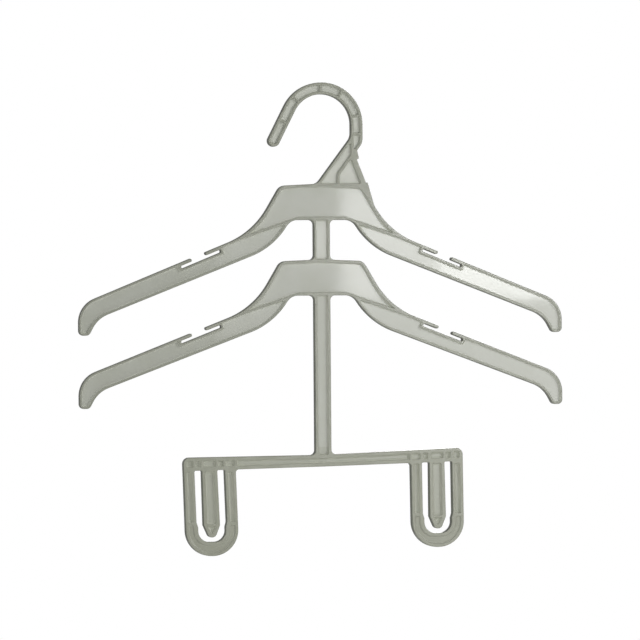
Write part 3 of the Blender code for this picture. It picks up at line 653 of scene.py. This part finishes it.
@dataclass
class Tier(SubAssembly):
    """A yoke with its two arms, drawn on its right half with heights from the yoke's lower edge."""

    base: float
    arm_slope: float
    yoke_height: float = 0.0224
    yoke_crown: float = 0.0011
    yoke_half_top: float = 0.0260
    yoke_corner: float = 0.0060
    yoke_side_slope: float = 59.5
    yoke_half_base: float = 0.0197
    yoke_base_fillet: float = 0.0083
    yoke_under_slope: float = 57.0
    yoke_pocket_fillet: float = 0.0030
    yoke_rim: float = 0.0017
    brace_slope: float = 18.3
    brace_drop: float = 0.0007
    brace_width: float = 0.0014
    arm_span: float = 0.3050
    arm_width: float = 0.0134
    arm_rim: float = 0.0013
    arm_taper: float = 0.7
    shoulder_reach: float = 0.0428
    shoulder_fillet: float = 0.0500
    armpit_fillet: float = 0.0470
    tip_length: float = 0.0187
    tip_width: float = 0.0061
    tip_inner_slope: float = 62.0
    tip_outer_fillet: float = 0.0160
    tip_inner_fillet: float = 0.0180
    tip_corner: float = 0.0030
    notch_start: float = 0.0238
    notch_length: float = 0.0268
    notch_depth: float = 0.0038
    finger: float = 0.0020
    inner_finger: float = 0.0096
    outer_finger: float = 0.0078
    finger_fillet: float = 0.0008

    def __post_init__(self) -> None:
        """Lays out the lines of the right half."""
        self.top_corner = point(self.yoke_half_top, self.yoke_height - self.yoke_crown)
        self.crest = Line(self.top_corner, heading_of(self.top_corner, point(0, self.yoke_height)))
        self.side = Line(self.top_corner, 180 - self.yoke_side_slope)
        self.shoulder = self.side.meet(upright(self.shoulder_reach))
        self.back = Line(self.shoulder, -self.arm_slope)
        self.under = Line(self.back.beside(-self.arm_width).at, self.arm_taper - self.arm_slope)
        self.flank = Line(point(self.yoke_half_base, 0), -self.yoke_under_slope)
        self.brace = Line(point(self.yoke_half_base, -self.brace_drop), -self.brace_slope)
        self.armpit = self.flank.meet(self.under)
        self.outer = upright(self.arm_span / 2)
        self.tip_top = self.back.meet(self.outer)
        self.tip_foot = level(self.tip_top[1] - self.tip_length)
        self.tip_inner = Line(self.outer.meet(self.tip_foot) - (self.tip_width, 0), -self.tip_inner_slope)

    @property
    def top(self) -> float:
        """The height of the yoke's upper edge."""
        return self.base + self.yoke_height

    def across(self, along: float) -> Line:
        """The line square to the arm's top edge, by its way out from the shoulder."""
        return Line(self.shoulder + along * unit(self.back.heading), self.back.heading - 90)

    def edge(self) -> Outline:
        """The edge out along the underside, round the tip and back past the strap notch to the shoulder."""
        start, end = self.notch_start, self.notch_start + self.notch_length
        finger, slot = self.back.beside(-self.finger), (self.notch_depth - self.finger) / 2
        return Outline.between(
            level(0),
            (self.flank, self.yoke_base_fillet),
            (self.under, self.armpit_fillet),
            (self.tip_inner, self.tip_inner_fillet),
            (self.tip_foot, self.tip_corner),
            (self.outer, self.tip_corner),
            (self.back, self.tip_outer_fillet),
            (self.across(end - self.outer_finger), self.finger_fillet),
            (finger, self.finger_fillet),
            (self.across(end), slot),
            (self.back.beside(-self.notch_depth), slot),
            (self.across(start), slot),
            (finger, slot),
            (self.across(start + self.inner_finger), self.finger_fillet),
            (self.back, self.finger_fillet),
            (self.side, self.shoulder_fillet),
        ).lifted(self.base)

    def corner(self) -> Outline:
        """The rounded top corner of the yoke."""
        return Outline.of((self.top_corner, self.yoke_corner)).lifted(self.base)

    def arm_pocket(self) -> Outline:
        """The pocket of the arm, from the brace at the yoke to the tip and back under the notch."""
        rim, small, wide = self.arm_rim, SECTION.small_fillet, SECTION.pocket_fillet
        start, end = self.notch_start - rim, self.notch_start + self.notch_length + rim
        brace, back = self.brace.beside(-self.brace_width / 2), self.back.beside(-rim)
        return Outline.between(
            brace,
            (self.flank.beside(rim), small),
            (self.under.beside(rim), self.armpit_fillet - rim),
            (self.tip_inner.beside(rim), self.tip_inner_fillet + rim),
            (self.tip_foot.beside(rim), small),
            (self.outer.beside(rim), small),
            (back, self.tip_outer_fillet - rim),
            (self.across(end), wide),
            (back.beside(-self.notch_depth), wide),
            (self.across(start), wide),
            (back, wide),
            (brace, self.shoulder_fillet),
        ).lifted(self.base)

    def yoke_pocket(self) -> Outline:
        """The pocket of the yoke, drawn out on both sides to a wedge between brace and shoulder.

        The wedge's point is where the brace's upper line first meets the circle that runs a rim's width
        inside the shoulder's bend.
        """
        rim, bend = self.yoke_rim, self.shoulder_fillet + self.yoke_rim
        run = self.shoulder_fillet * math.tan(math.radians(self.yoke_side_slope - self.arm_slope) / 2)
        bend_start = Line(self.shoulder + run * unit(self.side.heading), self.side.heading)
        centre = bend_start.beside(-self.shoulder_fillet).at
        brace, step = self.brace.beside(self.brace_width / 2), unit(self.brace.heading)
        crest = self.crest.beside(rim)
        reach = bend**2 - float(cross(centre - brace.at, step)) ** 2
        wedge = brace.at + (float((centre - brace.at) @ step) - math.sqrt(max(reach, 0.0))) * step
        half = Outline.between(
            level(rim),
            (brace, self.yoke_pocket_fillet),
            (Line(wedge, heading_of(centre, wedge) + 90), SECTION.fine_fillet),
            (self.side.beside(rim), bend),
            (crest, self.yoke_corner - SECTION.pocket_fillet),
        )
        crown = Outline.of((crest.meet(upright(0)), 0.0))
        return Outline.joined(half, crown, half.mirrored()).lifted(self.base)

    def pockets(self) -> list[Pocket]:
        """The pockets of both arms and of the yoke."""
        arm = self.arm_pocket()
        return [Pocket(outline, SECTION.floor) for outline in (arm, arm.mirrored(), self.yoke_pocket())]


@dataclass
class Head(SubAssembly):
    """The hook with its neck and the gusset that takes a size marker, standing on the upper yoke."""

    tier: Tier
    bore_radius: float = 0.0186
    band: float = 0.0073
    offset: float = 0.0003
    shank: float = 0.0081
    leg: float = 0.0227
    leg_lean: float = 26.9
    hook_rim: float = 0.0015
    rib: float = 0.0011
    rib_leads: tuple[float, ...] = (-0.0060, 0.0051, 0.0222, 0.0354, 0.0529, 0.0688)
    outer_fillet: float = 0.0090
    inner_fillet: float = 0.0080
    hook_step: float = 0.0020
    neck_width: float = 0.0079
    neck_foot: float = -0.0027
    neck_foot_fillet: float = 0.0060
    neck_rim: float = 0.0014
    neck_rib: float = 0.0014
    neck_rib_foot: float = 0.0108
    seat_foot: float = 0.0281
    seat_length: float = 0.0142
    seat_lean: float = 21.5
    seat_rim: float = 0.0023
    nib: float = 0.0016
    nib_rise: float = 35.0
    nib_fillet: float = 0.0002
    ledge_reach: float = 0.0011
    ledge_lift: float = 0.0007
    seat_top_lean: float = 13.5
    block_lean: float = 16.0

    def __post_init__(self) -> None:
        """Lays out the band's middle line, the neck's lines and the corners of the seat."""
        self.centre = point(self.offset, -self.bore_radius)
        self.middle = self.bore_radius + self.band / 2
        self.bend = math.radians(180 - self.leg_lean) * self.middle
        self.length = self.bend + self.leg
        self.shank_inner = self.offset + self.bore_radius
        self.shank_outer = self.shank_inner + self.band
        self.left_foot = point(self.neck_foot, self.tier.top)
        self.left_head = point(self.shank_inner, self.centre[1] - self.shank)
        self.left = Line(self.left_foot, heading_of(self.left_foot, self.left_head))
        self.right = self.left.beside(-self.neck_width)
        self.rib_top = self.right.beside(self.neck_rib)
        self.ledge = self.tier.top + self.ledge_lift
        self.recess = Line(point(self.seat_foot, self.ledge), 90 + self.seat_lean)
        root = self.recess.meet(level(self.ledge + self.seat_length))
        self.nib_under = Line(root, self.nib_rise)
        self.seat_top = Line(root + self.nib * unit(self.nib_rise), 90 + self.seat_top_lean)
        self.apex = self.seat_top.meet(self.right)

    def place(self, lead: Points | float, outward: float) -> Points:
        """Points of the hook by their way along the band's middle and their way out from it.

        The way starts where the shank meets the bend and runs over the top to the open end. On the bend a
        way s lies at the angle s / R about the bore's centre; before and after it the way runs straight on.
        """
        lead = np.asarray(lead, dtype=float)
        held = np.clip(lead, 0, self.bend)
        angle = held / self.middle
        out = np.stack([np.cos(angle), np.sin(angle)], axis=-1)
        along = np.stack([-np.sin(angle), np.cos(angle)], axis=-1)
        return self.centre + (self.middle + outward) * out + (lead - held)[..., None] * along

    def side(self, start: float, end: float, outward: float) -> Outline:
        """A run of corners along the band at one distance from its middle, too close to need rounding."""
        low, high = np.clip([start, end], 0, self.bend)
        count = max(2, math.ceil((high - low) / self.hook_step))
        leads = np.unique(np.round(np.r_[start, np.linspace(low, high, count), end], LEAD_DIGITS))
        leads = leads[(leads > start - TINY) & (leads < end + TINY)]
        return Outline(self.place(leads, outward), np.zeros(len(leads)))

    def hook_edge(self) -> Outline:
        """The hook from the outer corner at the neck over the top, round its open end and back inside."""
        half, stop = self.band / 2, self.length - self.band / 2
        tip = self.length + half
        return Outline.joined(
            Outline.of((self.right.meet(upright(self.shank_outer)), self.outer_fillet)),
            self.side(0, stop, half),
            Outline.of((self.place(tip, half), half), (self.place(tip, -half), half)),
            self.side(0, stop, -half).turned(),
            Outline.of((self.left_head, self.inner_fillet), (self.left_foot, self.neck_foot_fillet)),
        )

    def seat_edge(self) -> Outline:
        """The seat: up the corner block, over the ledge, along the recess and round the nib."""
        ledge_end = point(self.seat_foot + self.ledge_reach, self.ledge)
        return Outline.between(
            Line(self.tier.shoulder + (0, self.tier.base), self.tier.side.heading),
            (Line(ledge_end, self.block_lean - 90), self.tier.yoke_corner),
            (level(self.ledge), SECTION.fine_fillet),
            (self.recess, self.nib_fillet),
            (self.nib_under, self.nib_fillet),
            (self.seat_top, self.nib_fillet),
            (self.right, SECTION.small_fillet),
        )

    def hook_pockets(self) -> list[Outline]:
        """The cells between the cross ribs, and the wedge where the shank runs into the neck."""
        small, half = SECTION.small_fillet, self.band / 2 - self.hook_rim
        bounds = [*self.rib_leads, self.length + self.hook_rim + self.rib / 2]
        cells = [
            Outline.joined(
                self.side(lead + self.rib / 2, after - self.rib / 2, half).ends_rounded(small),
                self.side(lead + self.rib / 2, after - self.rib / 2, -half).turned().ends_rounded(small),
            )
            for lead, after in zip(bounds, bounds[1:])
        ]
        ceiling = level(float(self.place(bounds[0] - self.rib / 2, 0)[1]))
        inner, outer = upright(self.shank_inner + self.hook_rim), upright(self.shank_outer - self.hook_rim)
        bend = self.outer_fillet - self.hook_rim
        wedge = Outline.between(
            inner, (self.rib_top, small), (outer, bend), (ceiling, small), (inner, small)
        )
        return [*cells, wedge]

    def neck_pocket(self) -> Outline:
        """The long pocket of the neck, left of its slanting rib."""
        small = SECTION.small_fillet
        left, post = self.left.beside(-self.neck_rim), upright(self.neck_rib_foot - self.neck_rib / 2)
        return Outline.between(
            left,
            (level(self.tier.top), small),
            (post, small),
            (self.rib_top, self.neck_foot_fillet),
            (upright(self.shank_inner), small),
            (left, small),
        )

    def seat_pocket(self) -> Outline:
        """The three-cornered pocket of the size marker's seat."""
        small = SECTION.small_fillet
        post = upright(self.neck_rib_foot + self.neck_rib / 2)
        edge, foot = self.recess.beside(self.seat_rim + self.nib / 2), level(self.tier.top)
        return Outline.between(
            post, (foot, small), (edge, small), (self.right, small), (post, self.neck_foot_fillet)
        )

    def pockets(self) -> list[Pocket]:
        """The pockets of the hook, the neck and the seat."""
        outlines = [*self.hook_pockets(), self.neck_pocket(), self.seat_pocket()]
        return [Pocket(outline, SECTION.floor) for outline in outlines]


@dataclass
class Stem(SubAssembly):
    """A stem: the short one between the tiers, or the long one down to the bar."""

    width: float = 0.0100
    rim: float = 0.0017
    fillet: float = 0.0030

    def pocket(self, top: float, bottom: float) -> Pocket:
        """The pocket of the stem between the rims that cross its ends."""
        half, wide = self.width / 2 - self.rim, SECTION.pocket_fillet
        sides = (level(bottom), upright(half), level(top), upright(-half))
        return Pocket(Outline.between(sides[-1], *[(line, wide) for line in sides]), SECTION.floor)


@dataclass
class ClipBar(SubAssembly):
    """The bar with its two clips: a loop at each end, and a springy tongue that hangs in the loop."""

    top: float
    height: float = 0.0072
    end_height: float = 0.0083
    corner: float = 0.0040
    rim: float = 0.0021
    rib: float = 0.0016
    left_fall: float = 0.45
    right_rise: float = 2.30
    pitch: float = 0.1437
    tongue_width: float = 0.0096
    tongue_length: float = 0.0414
    tongue_rim: float = 0.0020
    tongue_head: float = 0.0075
    tip_width: float = 0.0040
    tip_fillet: float = 0.0029
    barb: float = 0.0003
    head_rib: float = 0.0012
    channel_start: float = 0.0007
    tongue_slot: float = 0.00475
    tip_gap: float = 0.0028
    loop_leg: float = 0.0069
    loop_floor: float = 0.0087
    loop_fillet: float = 0.0020
    loop_rim: float = 0.0019
    grip_lead: float = 0.0019
    grip_step: float = 0.0009
    grip_ramp: float = 0.0030
    grip_fillet: float = 0.0070
    grip_channel: float = 0.0008
    left_lean: float = 2.0
    right_lean: float = -0.7
    tongue_rows: int = 24
    bend_length: float = 0.0140
    cut_share: float = 0.25

    def __post_init__(self) -> None:
        """Works out the sizes that follow from the tongue."""
        self.opening_half = self.tongue_width / 2 + self.tongue_slot
        self.loop_half = self.opening_half + self.loop_leg
        self.loop_depth = self.tongue_length + self.tip_gap
        self.loop_drop = self.loop_depth + self.loop_floor
        self.barb_drop = self.tongue_length - self.tongue_head
        self.grip_drop = self.barb_drop - self.grip_lead

    def on_bar(self, x: float, depth: float) -> Points:
        """A point of the bar by its place along it and its depth below the top edge."""
        slope = self.right_rise if x > 0 else self.left_fall
        return point(x, self.top + x * math.tan(math.radians(slope)) - depth)

    def under_bar(self, x: float, lift: float = 0.0) -> Points:
        """A point of the bar by its place along it and its height above the lower edge."""
        growth = abs(x) / (self.pitch / 2 + self.loop_half)
        return self.on_bar(x, self.height + growth * (self.end_height - self.height) - lift)

    def under_slope(self, side: Side) -> float:
        """The heading of the bar's lower edge on one side of the stem, taken to the right."""
        heading = heading_of(self.under_bar(0), self.under_bar(side * self.pitch / 2))
        return heading if side == Side.RIGHT else heading - 180

    def on_clip(self, side: Side, x: float, drop: float) -> Points:
        """A point of a clip by its way out from the clip's middle and its drop below the bar."""
        lean = self.right_lean if side == Side.RIGHT else self.left_lean
        place = side * (self.pitch / 2 + x)
        shift = -side * drop * math.tan(math.radians(lean))
        middle = self.under_bar(side * self.pitch / 2)[1]
        height = self.under_bar(place)[1] if drop == 0 else middle - drop
        return point(place + shift, height)

    def clip(self, side: Side, rows: Sequence[Row]) -> Outline:
        """An outline on a clip from rows of (way out, drop, radius), drawn for the right clip."""
        outline = Outline.of(*[(self.on_clip(side, x, drop), r) for x, drop, r in rows])
        return outline if side == Side.RIGHT else outline.turned()

    def loop_edge(self, side: Side) -> Outline:
        """The outside of a loop with the end of the bar above it, listed anticlockwise."""
        half, drop = self.loop_half, self.loop_drop
        end = Outline.of((self.on_bar(side * (self.pitch / 2 + half), 0), self.corner))
        loop = self.clip(side, [(-half, 0, self.loop_fillet), (-half, drop, half), (half, drop, half)])
        return Outline.joined(loop, end) if side == Side.RIGHT else Outline.joined(end, loop)

    def loop_blank(self, side: Side) -> Outline:
        """A loop with the stretch of bar above it, closed as an outline of its own."""
        inner = Outline.of((self.on_bar(side * (self.pitch / 2 - self.loop_half), 0), 0.0))
        return Outline.joined(self.loop_edge(side), inner)

    @staticmethod
    def flipped(rows: list[Row]) -> list[Row]:
        """The rows of a clip's other half, in the other order."""
        return [(-x, drop, radius) for x, drop, radius in rows[::-1]]

    def opening_side(self) -> list[Row]:
        """One side of the hole in a loop, narrower below the grip's step."""
        half, grip, wide = self.opening_half, self.opening_half - self.grip_step, SECTION.pocket_fillet
        return [
            (-half, 0, SECTION.small_fillet), (-half, self.grip_drop, wide),
            (-grip, self.grip_drop + self.grip_ramp, wide), (-grip, self.loop_depth, self.grip_fillet),
        ]

    def tongue_side(self) -> list[Row]:
        """One side of a tongue from the bar to its tip, in short steps so that it can bend."""
        half = self.tongue_width / 2
        drops = np.linspace(0, self.barb_drop, self.tongue_rows)[1:-1]
        return [
            (half, 0, SECTION.small_fillet),
            *[(half + self.barb * d / self.barb_drop, d, 0.0) for d in drops],
            (half + self.barb, self.barb_drop, SECTION.pocket_fillet),
            (self.tip_width / 2, self.tongue_length, self.tip_fillet),
        ]

    def opening(self, side: Side, forked: bool) -> Outline:
        """The hole in a loop, with or without the tongue that hangs in it."""
        halves = [self.opening_side()] + ([self.tongue_side()] if forked else [])
        return self.clip(side, [row for half in halves for row in half + self.flipped(half)])

    def loop_pockets(self, side: Side) -> list[Pocket]:
        """The channels of the two legs, and the shallow one that runs round the grip."""
        small, rim, drop = SECTION.small_fillet, self.loop_rim, self.grip_drop
        outer, inner, start = self.loop_half - rim, self.opening_half + rim, self.loop_fillet / 2
        leg = [(inner, start, small), (inner, drop, small), (outer, drop, small), (outer, start, small)]
        grip = [
            (-inner, self.loop_depth + rim, self.grip_fillet + rim), (-inner, drop + rim, small),
            (-outer, drop + rim, small), (-outer, self.loop_drop - rim, outer),
        ]
        recesses = [(leg, SECTION.floor), (self.flipped(leg), SECTION.floor)]
        recesses.append((grip + self.flipped(grip), SECTION.depth / 2 - self.grip_channel))
        return [Pocket(self.clip(side, rows), floor, SECTION.soft_root) for rows, floor in recesses]

    def tongue_pockets(self, side: Side) -> list[Pocket]:
        """The channel down a tongue, and the three-cornered recess in its head."""
        small, fine = SECTION.small_fillet, SECTION.fine_fillet
        half, gap = self.tongue_width / 2 - self.tongue_rim, self.head_rib / 2
        above, below = self.barb_drop - gap, self.barb_drop + gap
        drops = np.linspace(self.channel_start, above, self.tongue_rows)
        middle = [(-half, d, 0.0) for d in drops[1:-1]]
        channel = [(-half, drops[0], small), *middle, (-half, drops[-1], small)]
        point_drop = self.tongue_length - self.tongue_rim
        head = [(-half, below, fine), (0, point_drop, fine), (half, below, fine)]
        return [
            Pocket(self.clip(side, rows), SECTION.floor, SECTION.soft_root)
            for rows in (channel + self.flipped(channel), head)
        ]

    def cell(self, *places: float) -> Outline:
        """A recess of the bar through places along it, from left to right, unrounded at the stem."""
        turn = [SECTION.small_fillet if x else 0.0 for x in places]
        low = [(self.under_bar(x, self.rim), r) for x, r in zip(places, turn)]
        high = [(self.on_bar(x, self.rim), r) for x, r in zip(places, turn)]
        return Outline.of(*low, *high[::-1])

    def bar_pockets(self) -> list[Pocket]:
        """The bar's long channel under the stem, and the small cells over each clip."""
        end = self.pitch / 2 - self.loop_half - self.rib / 2
        outlines = [self.cell(-end, 0, end)]
        half, tongue = self.opening_half, self.tongue_width / 2
        ribs = (-self.loop_half, -half, -tongue, tongue, half, self.loop_half - self.rim + self.rib / 2)
        for side in Side:
            for rib, after in zip(ribs, ribs[1:]):
                ends = (rib + self.rib / 2, after - self.rib / 2)
                outlines.append(self.cell(*sorted(side * (self.pitch / 2 + x) for x in ends)))
        return [Pocket(outline, SECTION.floor, SECTION.soft_root) for outline in outlines]

    def leg_cut(self, side: Side) -> Cut:
        """The seam under the bar, below which the legs and the tongue begin."""
        at = self.under_bar(side * self.pitch / 2, -self.loop_fillet)
        return Cut(at, self.under_slope(side) - 90)

    def tongue_cuts(self, side: Side) -> list[Cut]:
        """The planes that free a tongue: its seam, one in each slot and one under its tip."""
        out = self.tongue_width / 2 + self.tongue_slot * self.cut_share
        away = 0 if side == Side.RIGHT else 180
        outer = Cut(self.on_clip(side, out, self.barb_drop), away)
        inner = Cut(self.on_clip(side, -out, self.barb_drop), 180 - away)
        tip = Cut(self.on_clip(side, 0, self.tongue_length + self.tip_gap * self.cut_share), -90)
        return [self.leg_cut(side).far(), outer, inner, tip]

    def build_clips(self, moulding: Moulding) -> None:
        """Parts the loops and tongues and dresses them.

        Args:
            moulding: the whole moulding, whose openings hold the tongues.
        """
        material = self.finish.material()
        for side, word, body in (
            (Side.LEFT, "left", Body.LEFT_TONGUE), (Side.RIGHT, "right", Body.RIGHT_TONGUE)
        ):
            blank = Moulding(self.loop_blank(side), [self.opening(side, False)], self.loop_pockets(side))
            loop = blank.part(f"{word}_clip_loop_moulded", [self.leg_cut(side).far()])
            self.dress(loop, f"{word}_clip_loop", material)
            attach(loop, Body.FRAME.value)
            tongue = moulding.part(f"{word}_clip_tongue_moulded", self.tongue_cuts(side))
            self.dress(tongue, f"{word}_clip_tongue", material)
            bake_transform(tongue)


@dataclass
class Hanger:
    """The whole hanger: it joins the outlines of its sub-assemblies and shares out the seams."""

    head: Head
    upper: Tier
    lower: Tier
    upper_stem: Stem
    lower_stem: Stem
    bar: ClipBar
    stub: float = 0.0050
    hook_seam: float = 0.0018
    seat_seam_turn: float = 2.0

    def plan(self) -> Outline:
        """The outer edge of the moulding, anticlockwise from the right end of the bar."""
        half, fillet = self.lower_stem.width / 2, self.lower_stem.fillet
        crown = self.lower.yoke_crown * half / self.lower.yoke_half_top
        lower = Outline.joined(
            Outline.of((point(half, self.lower.base), fillet)),
            self.lower.edge(),
            self.lower.corner(),
            Outline.of(*[(point(half, z), fillet) for z in (self.lower.top - crown, self.upper.base)]),
        )
        return Outline.joined(
            Outline.of((self.bar.on_bar(half, 0), fillet)),
            lower,
            self.upper.edge(),
            self.head.seat_edge(),
            self.head.hook_edge(),
            Outline.joined(self.upper.edge(), self.upper.corner()).mirrored(),
            lower.mirrored(),
            Outline.of((self.bar.on_bar(-half, 0), fillet)),
            self.bar.loop_edge(Side.LEFT),
            Outline.of((self.bar.under_bar(0), 0.0)),
            self.bar.loop_edge(Side.RIGHT),
        )

    def pockets(self) -> list[Pocket]:
        """Every pocket of the moulding."""
        pockets = self.head.pockets() + self.upper.pockets() + self.lower.pockets()
        pockets.append(self.upper_stem.pocket(self.upper.base, self.lower.top))
        pockets.append(self.lower_stem.pocket(self.lower.base, self.bar.top))
        pockets += self.bar.bar_pockets()
        for side in Side:
            pockets += self.bar.loop_pockets(side) + self.bar.tongue_pockets(side)
        return pockets

    def seams(self) -> list[tuple[SubAssembly, dict[str, list[Cut]]]]:
        """The planes that bound each fixed member, by sub-assembly and node."""
        head, upper, lower, bar = self.head, self.upper, self.lower, self.bar
        shank = head.place(head.rib_leads[0] - self.hook_seam, 0)
        below_tip = head.place(head.length + head.band, head.band / 2)
        hook = Cut(shank, heading_of(below_tip, shank) - 90)
        seat = Cut(head.apex, head.right.heading - self.seat_seam_turn - 90)
        neck = Cut.under(head.ledge)
        inner = (upper.armpit + lower.top_corner + (0, upper.base + lower.base)) / 2
        outer = (upper.tip_inner.at + lower.tip_top + (0, upper.base + lower.base)) / 2
        divide = Cut(inner, heading_of(inner, outer) - 90)
        stem_top, stem_end = Cut.under(upper.base - self.stub), Cut.under(lower.top + self.stub)
        long_top, long_end = Cut.under(lower.base - self.stub), Cut.under(bar.top + self.stub)
        tips = Cut.under((lower.base + lower.tip_foot.at[1] + bar.top) / 2)
        left = Cut(point(-self.lower_stem.width, 0), 0)
        right = left.across()
        return [
            (head, {
                "hook": [hook],
                "neck": [hook.far(), seat, neck],
                "size_marker_seat": [seat.far(), neck],
            }),
            (upper, {
                "upper_yoke": [neck.far(), stem_top],
                "upper_left_arm": [stem_top.far(), left, divide.across()],
                "upper_right_arm": [stem_top.far(), right, divide],
            }),
            (lower, {
                "lower_yoke": [stem_end.far(), long_top, divide.far(), divide.across().far()],
                "lower_left_arm": [long_top.far(), left, divide.across().far(), tips],
                "lower_right_arm": [long_top.far(), right, divide.far(), tips],
            }),
            (self.upper_stem, {"upper_stem": [stem_top.far(), stem_end, left.far(), right.far()]}),
            (self.lower_stem, {"lower_stem": [long_top.far(), long_end, left.far(), right.far()]}),
            (bar, {"clip_bar": [long_end.far(), *[bar.leg_cut(side) for side in Side]]}),
        ]

    def build(self) -> None:
        """Builds the moulding, parts it and dresses every member."""
        openings = [self.bar.opening(side, True) for side in Side]
        moulding = Moulding(self.plan(), openings, self.pockets())
        for assembly, cuts in self.seams():
            assembly.build(moulding, cuts)
        self.bar.build_clips(moulding)


# Studio


@dataclass(frozen=True)
class Lamp:
    """A soft box: where it stands, how large it is and how strong."""

    name: str
    at: tuple[float, float, float]
    target: tuple[float, float, float]
    size: tuple[float, float]
    watts: float

    def build(self) -> None:
        """Hangs the lamp so that it faces its target."""
        data = bpy.data.lights.new(self.name, "AREA")
        data.shape = "RECTANGLE"
        data.size, data.size_y = self.size
        data.energy = self.watts
        lamp = bpy.data.objects.new(self.name, data)
        way = Vector(self.target) - Vector(self.at)
        lamp.matrix_world = Matrix.Translation(self.at) @ way.to_track_quat("-Z", "Y").to_matrix().to_4x4()
        bpy.context.collection.objects.link(lamp)


@dataclass(frozen=True)
class Studio:
    """A white floor under the hanging part, soft boxes, a pale surround and the camera."""

    floor_height: float = -0.62
    floor_radius: float = 1.1
    floor_turns: int = 96
    floor_colour: str = "#f2f2f0"
    floor_roughness: float = 0.9
    floor_lift: float = 0.45
    surround: float = 0.25
    azimuth: float = -11.5
    roll: float = -0.43
    distance: float = 3.4
    aim: tuple[float, float] = (-0.0011, -0.1399)
    mm_per_pixel: float = 0.6199
    pixels: int = 640
    sensor: float = 36.0
    lamps: tuple[Lamp, ...] = (
        Lamp("front_fill", (-0.75, -1.90, 0.00), (0.0, 0.0, -0.15), (0.60, 0.60), 9.0),
        Lamp("side_fill", (1.10, -1.50, 0.35), (0.0, 0.0, -0.15), (0.60, 0.60), 10.5),
        Lamp("broad_reflector", (0.315, -1.06, -0.215), (0.315, 0.0, -0.215), (0.37, 0.37), 0.80),
        Lamp("wide_softbox", (0.363, -1.04, -0.14), (0.363, 0.0, -0.14), (0.274, 0.22), 0.42),
        Lamp("bright_softbox", (0.363, -1.02, -0.077), (0.363, 0.0, -0.077), (0.274, 0.094), 0.31),
        Lamp("hot_softbox", (0.360, -1.0, -0.077), (0.360, 0.0, -0.077), (0.12, 0.094), 0.20),
        Lamp("stem_card", (0.20, -0.98, -0.0767), (0.20, 0.0, -0.0767), (0.05, 0.034), 0.0155),
        Lamp("back_softbox", (0.66, 1.20, 0.40), (0.0, 0.0, -0.15), (0.80, 0.80), 12.0),
    )

    def floor(self) -> None:
        """Lays the floor as a flat disc whose edge is P(t) = (r cos t, r sin t)."""
        angle = np.linspace(0, 2 * np.pi, self.floor_turns, endpoint=False)
        edge = self.floor_radius * np.stack([np.cos(angle), np.sin(angle)], axis=1)
        mesh = bpy.data.meshes.new("floor")
        mesh.from_pydata([(x, y, self.floor_height) for x, y in edge], [], [range(self.floor_turns)])
        mesh.materials.append(self.floor_material())
        floor = bpy.data.objects.new("floor", mesh)
        bpy.context.collection.objects.link(floor)

    def floor_material(self) -> bpy.types.Material:
        """White paint that keeps the shadow and is lifted to white where the camera looks at it."""
        made, shader = new_material("matt_white_paint_rolled")
        tree = made.node_tree
        camera = add_node(tree, "LightPath", {}).outputs["Is Camera Ray"]
        lift = add_node(tree, "Math", {0: camera, 1: self.floor_lift}, operation="MULTIPLY")
        feed(shader, {
            "Base Color": linear(self.floor_colour),
            "Roughness": self.floor_roughness,
            "Emission Color": WHITE,
            "Emission Strength": lift.outputs[0],
        })
        return made

    def world(self) -> None:
        """A surround that looks white and lights the part as a dim grey room."""
        world = bpy.data.worlds.new("surround")
        bpy.context.scene.world = world
        world.use_nodes = True
        tree = world.node_tree
        tree.nodes.clear()
        seen = add_node(tree, "LightPath", {}).outputs["Is Camera Ray"]
        dim, white = (
            add_node(tree, "Background", {"Color": WHITE, "Strength": strength}).outputs[0]
            for strength in (self.surround, 1.0)
        )
        mixed = add_node(tree, "MixShader", {0: seen, 1: dim, 2: white}).outputs[0]
        add_node(tree, "OutputWorld", {"Surface": mixed})

    def camera(self) -> None:
        """Stands the camera left of the part's front, level with it, with the slight roll of the view."""
        turn = math.radians(self.azimuth)
        back = Vector((math.sin(turn), -math.cos(turn), 0))
        right = Vector((math.cos(turn), math.sin(turn), 0))
        aim = right * self.aim[0] + Vector((0, 0, self.aim[1]))
        facing = back.to_track_quat("Z", "Y").to_matrix()
        facing = facing @ Matrix.Rotation(math.radians(self.roll), 3, "Z")
        data = bpy.data.cameras.new("camera")
        data.sensor_width = self.sensor
        data.lens = self.sensor * self.distance / (self.pixels * self.mm_per_pixel / 1000)
        camera = bpy.data.objects.new("camera", data)
        camera.matrix_world = Matrix.Translation(aim + back * self.distance) @ facing.to_4x4()
        bpy.context.collection.objects.link(camera)
        bpy.context.scene.camera = camera

    def build(self) -> None:
        """Sets up floor, surround, lamps and camera."""
        bpy.context.scene.view_settings.view_transform = "Standard"
        self.floor()
        self.world()
        for lamp in self.lamps:
            lamp.build()
        self.camera()


def main() -> None:
    """Builds the studio and the hanger."""
    logging.basicConfig(level=logging.INFO, format="%(message)s")
    Studio().build()
    # The tiers' webs are polished and mirror the lamps; hook and clips are satin, so they look even. The
    # hook's copy is painted with paler webs, as painted light, and the clips' copy with darker webs, as
    # painted shade; both have weaker painted light on their pocket walls.
    satin = (0.20, 0.24)
    tiers = NaturalPolypropylene("natural_polypropylene_polished_web")
    ribbed = NaturalPolypropylene(
        "natural_polypropylene_satin_ribs", web="#c2c4bb", painted_wall_light="#c8cac0", rim="#8f9183", gloss=satin
    )
    clips = NaturalPolypropylene(
        "natural_polypropylene_satin_clips", web="#a3a599", painted_wall_light="#d2d4c8", rim="#919384", gloss=satin
    )
    upper = Tier(tiers, base=-0.0779, arm_slope=22.15)
    lower = Tier(tiers, base=-0.1247, arm_slope=21.35)
    bar = ClipBar(clips, top=-0.2235)
    Hanger(Head(ribbed, upper), upper, lower, Stem(tiers, rim=0.0012), Stem(tiers), bar).build()


if __name__ == "__main__":
    main()
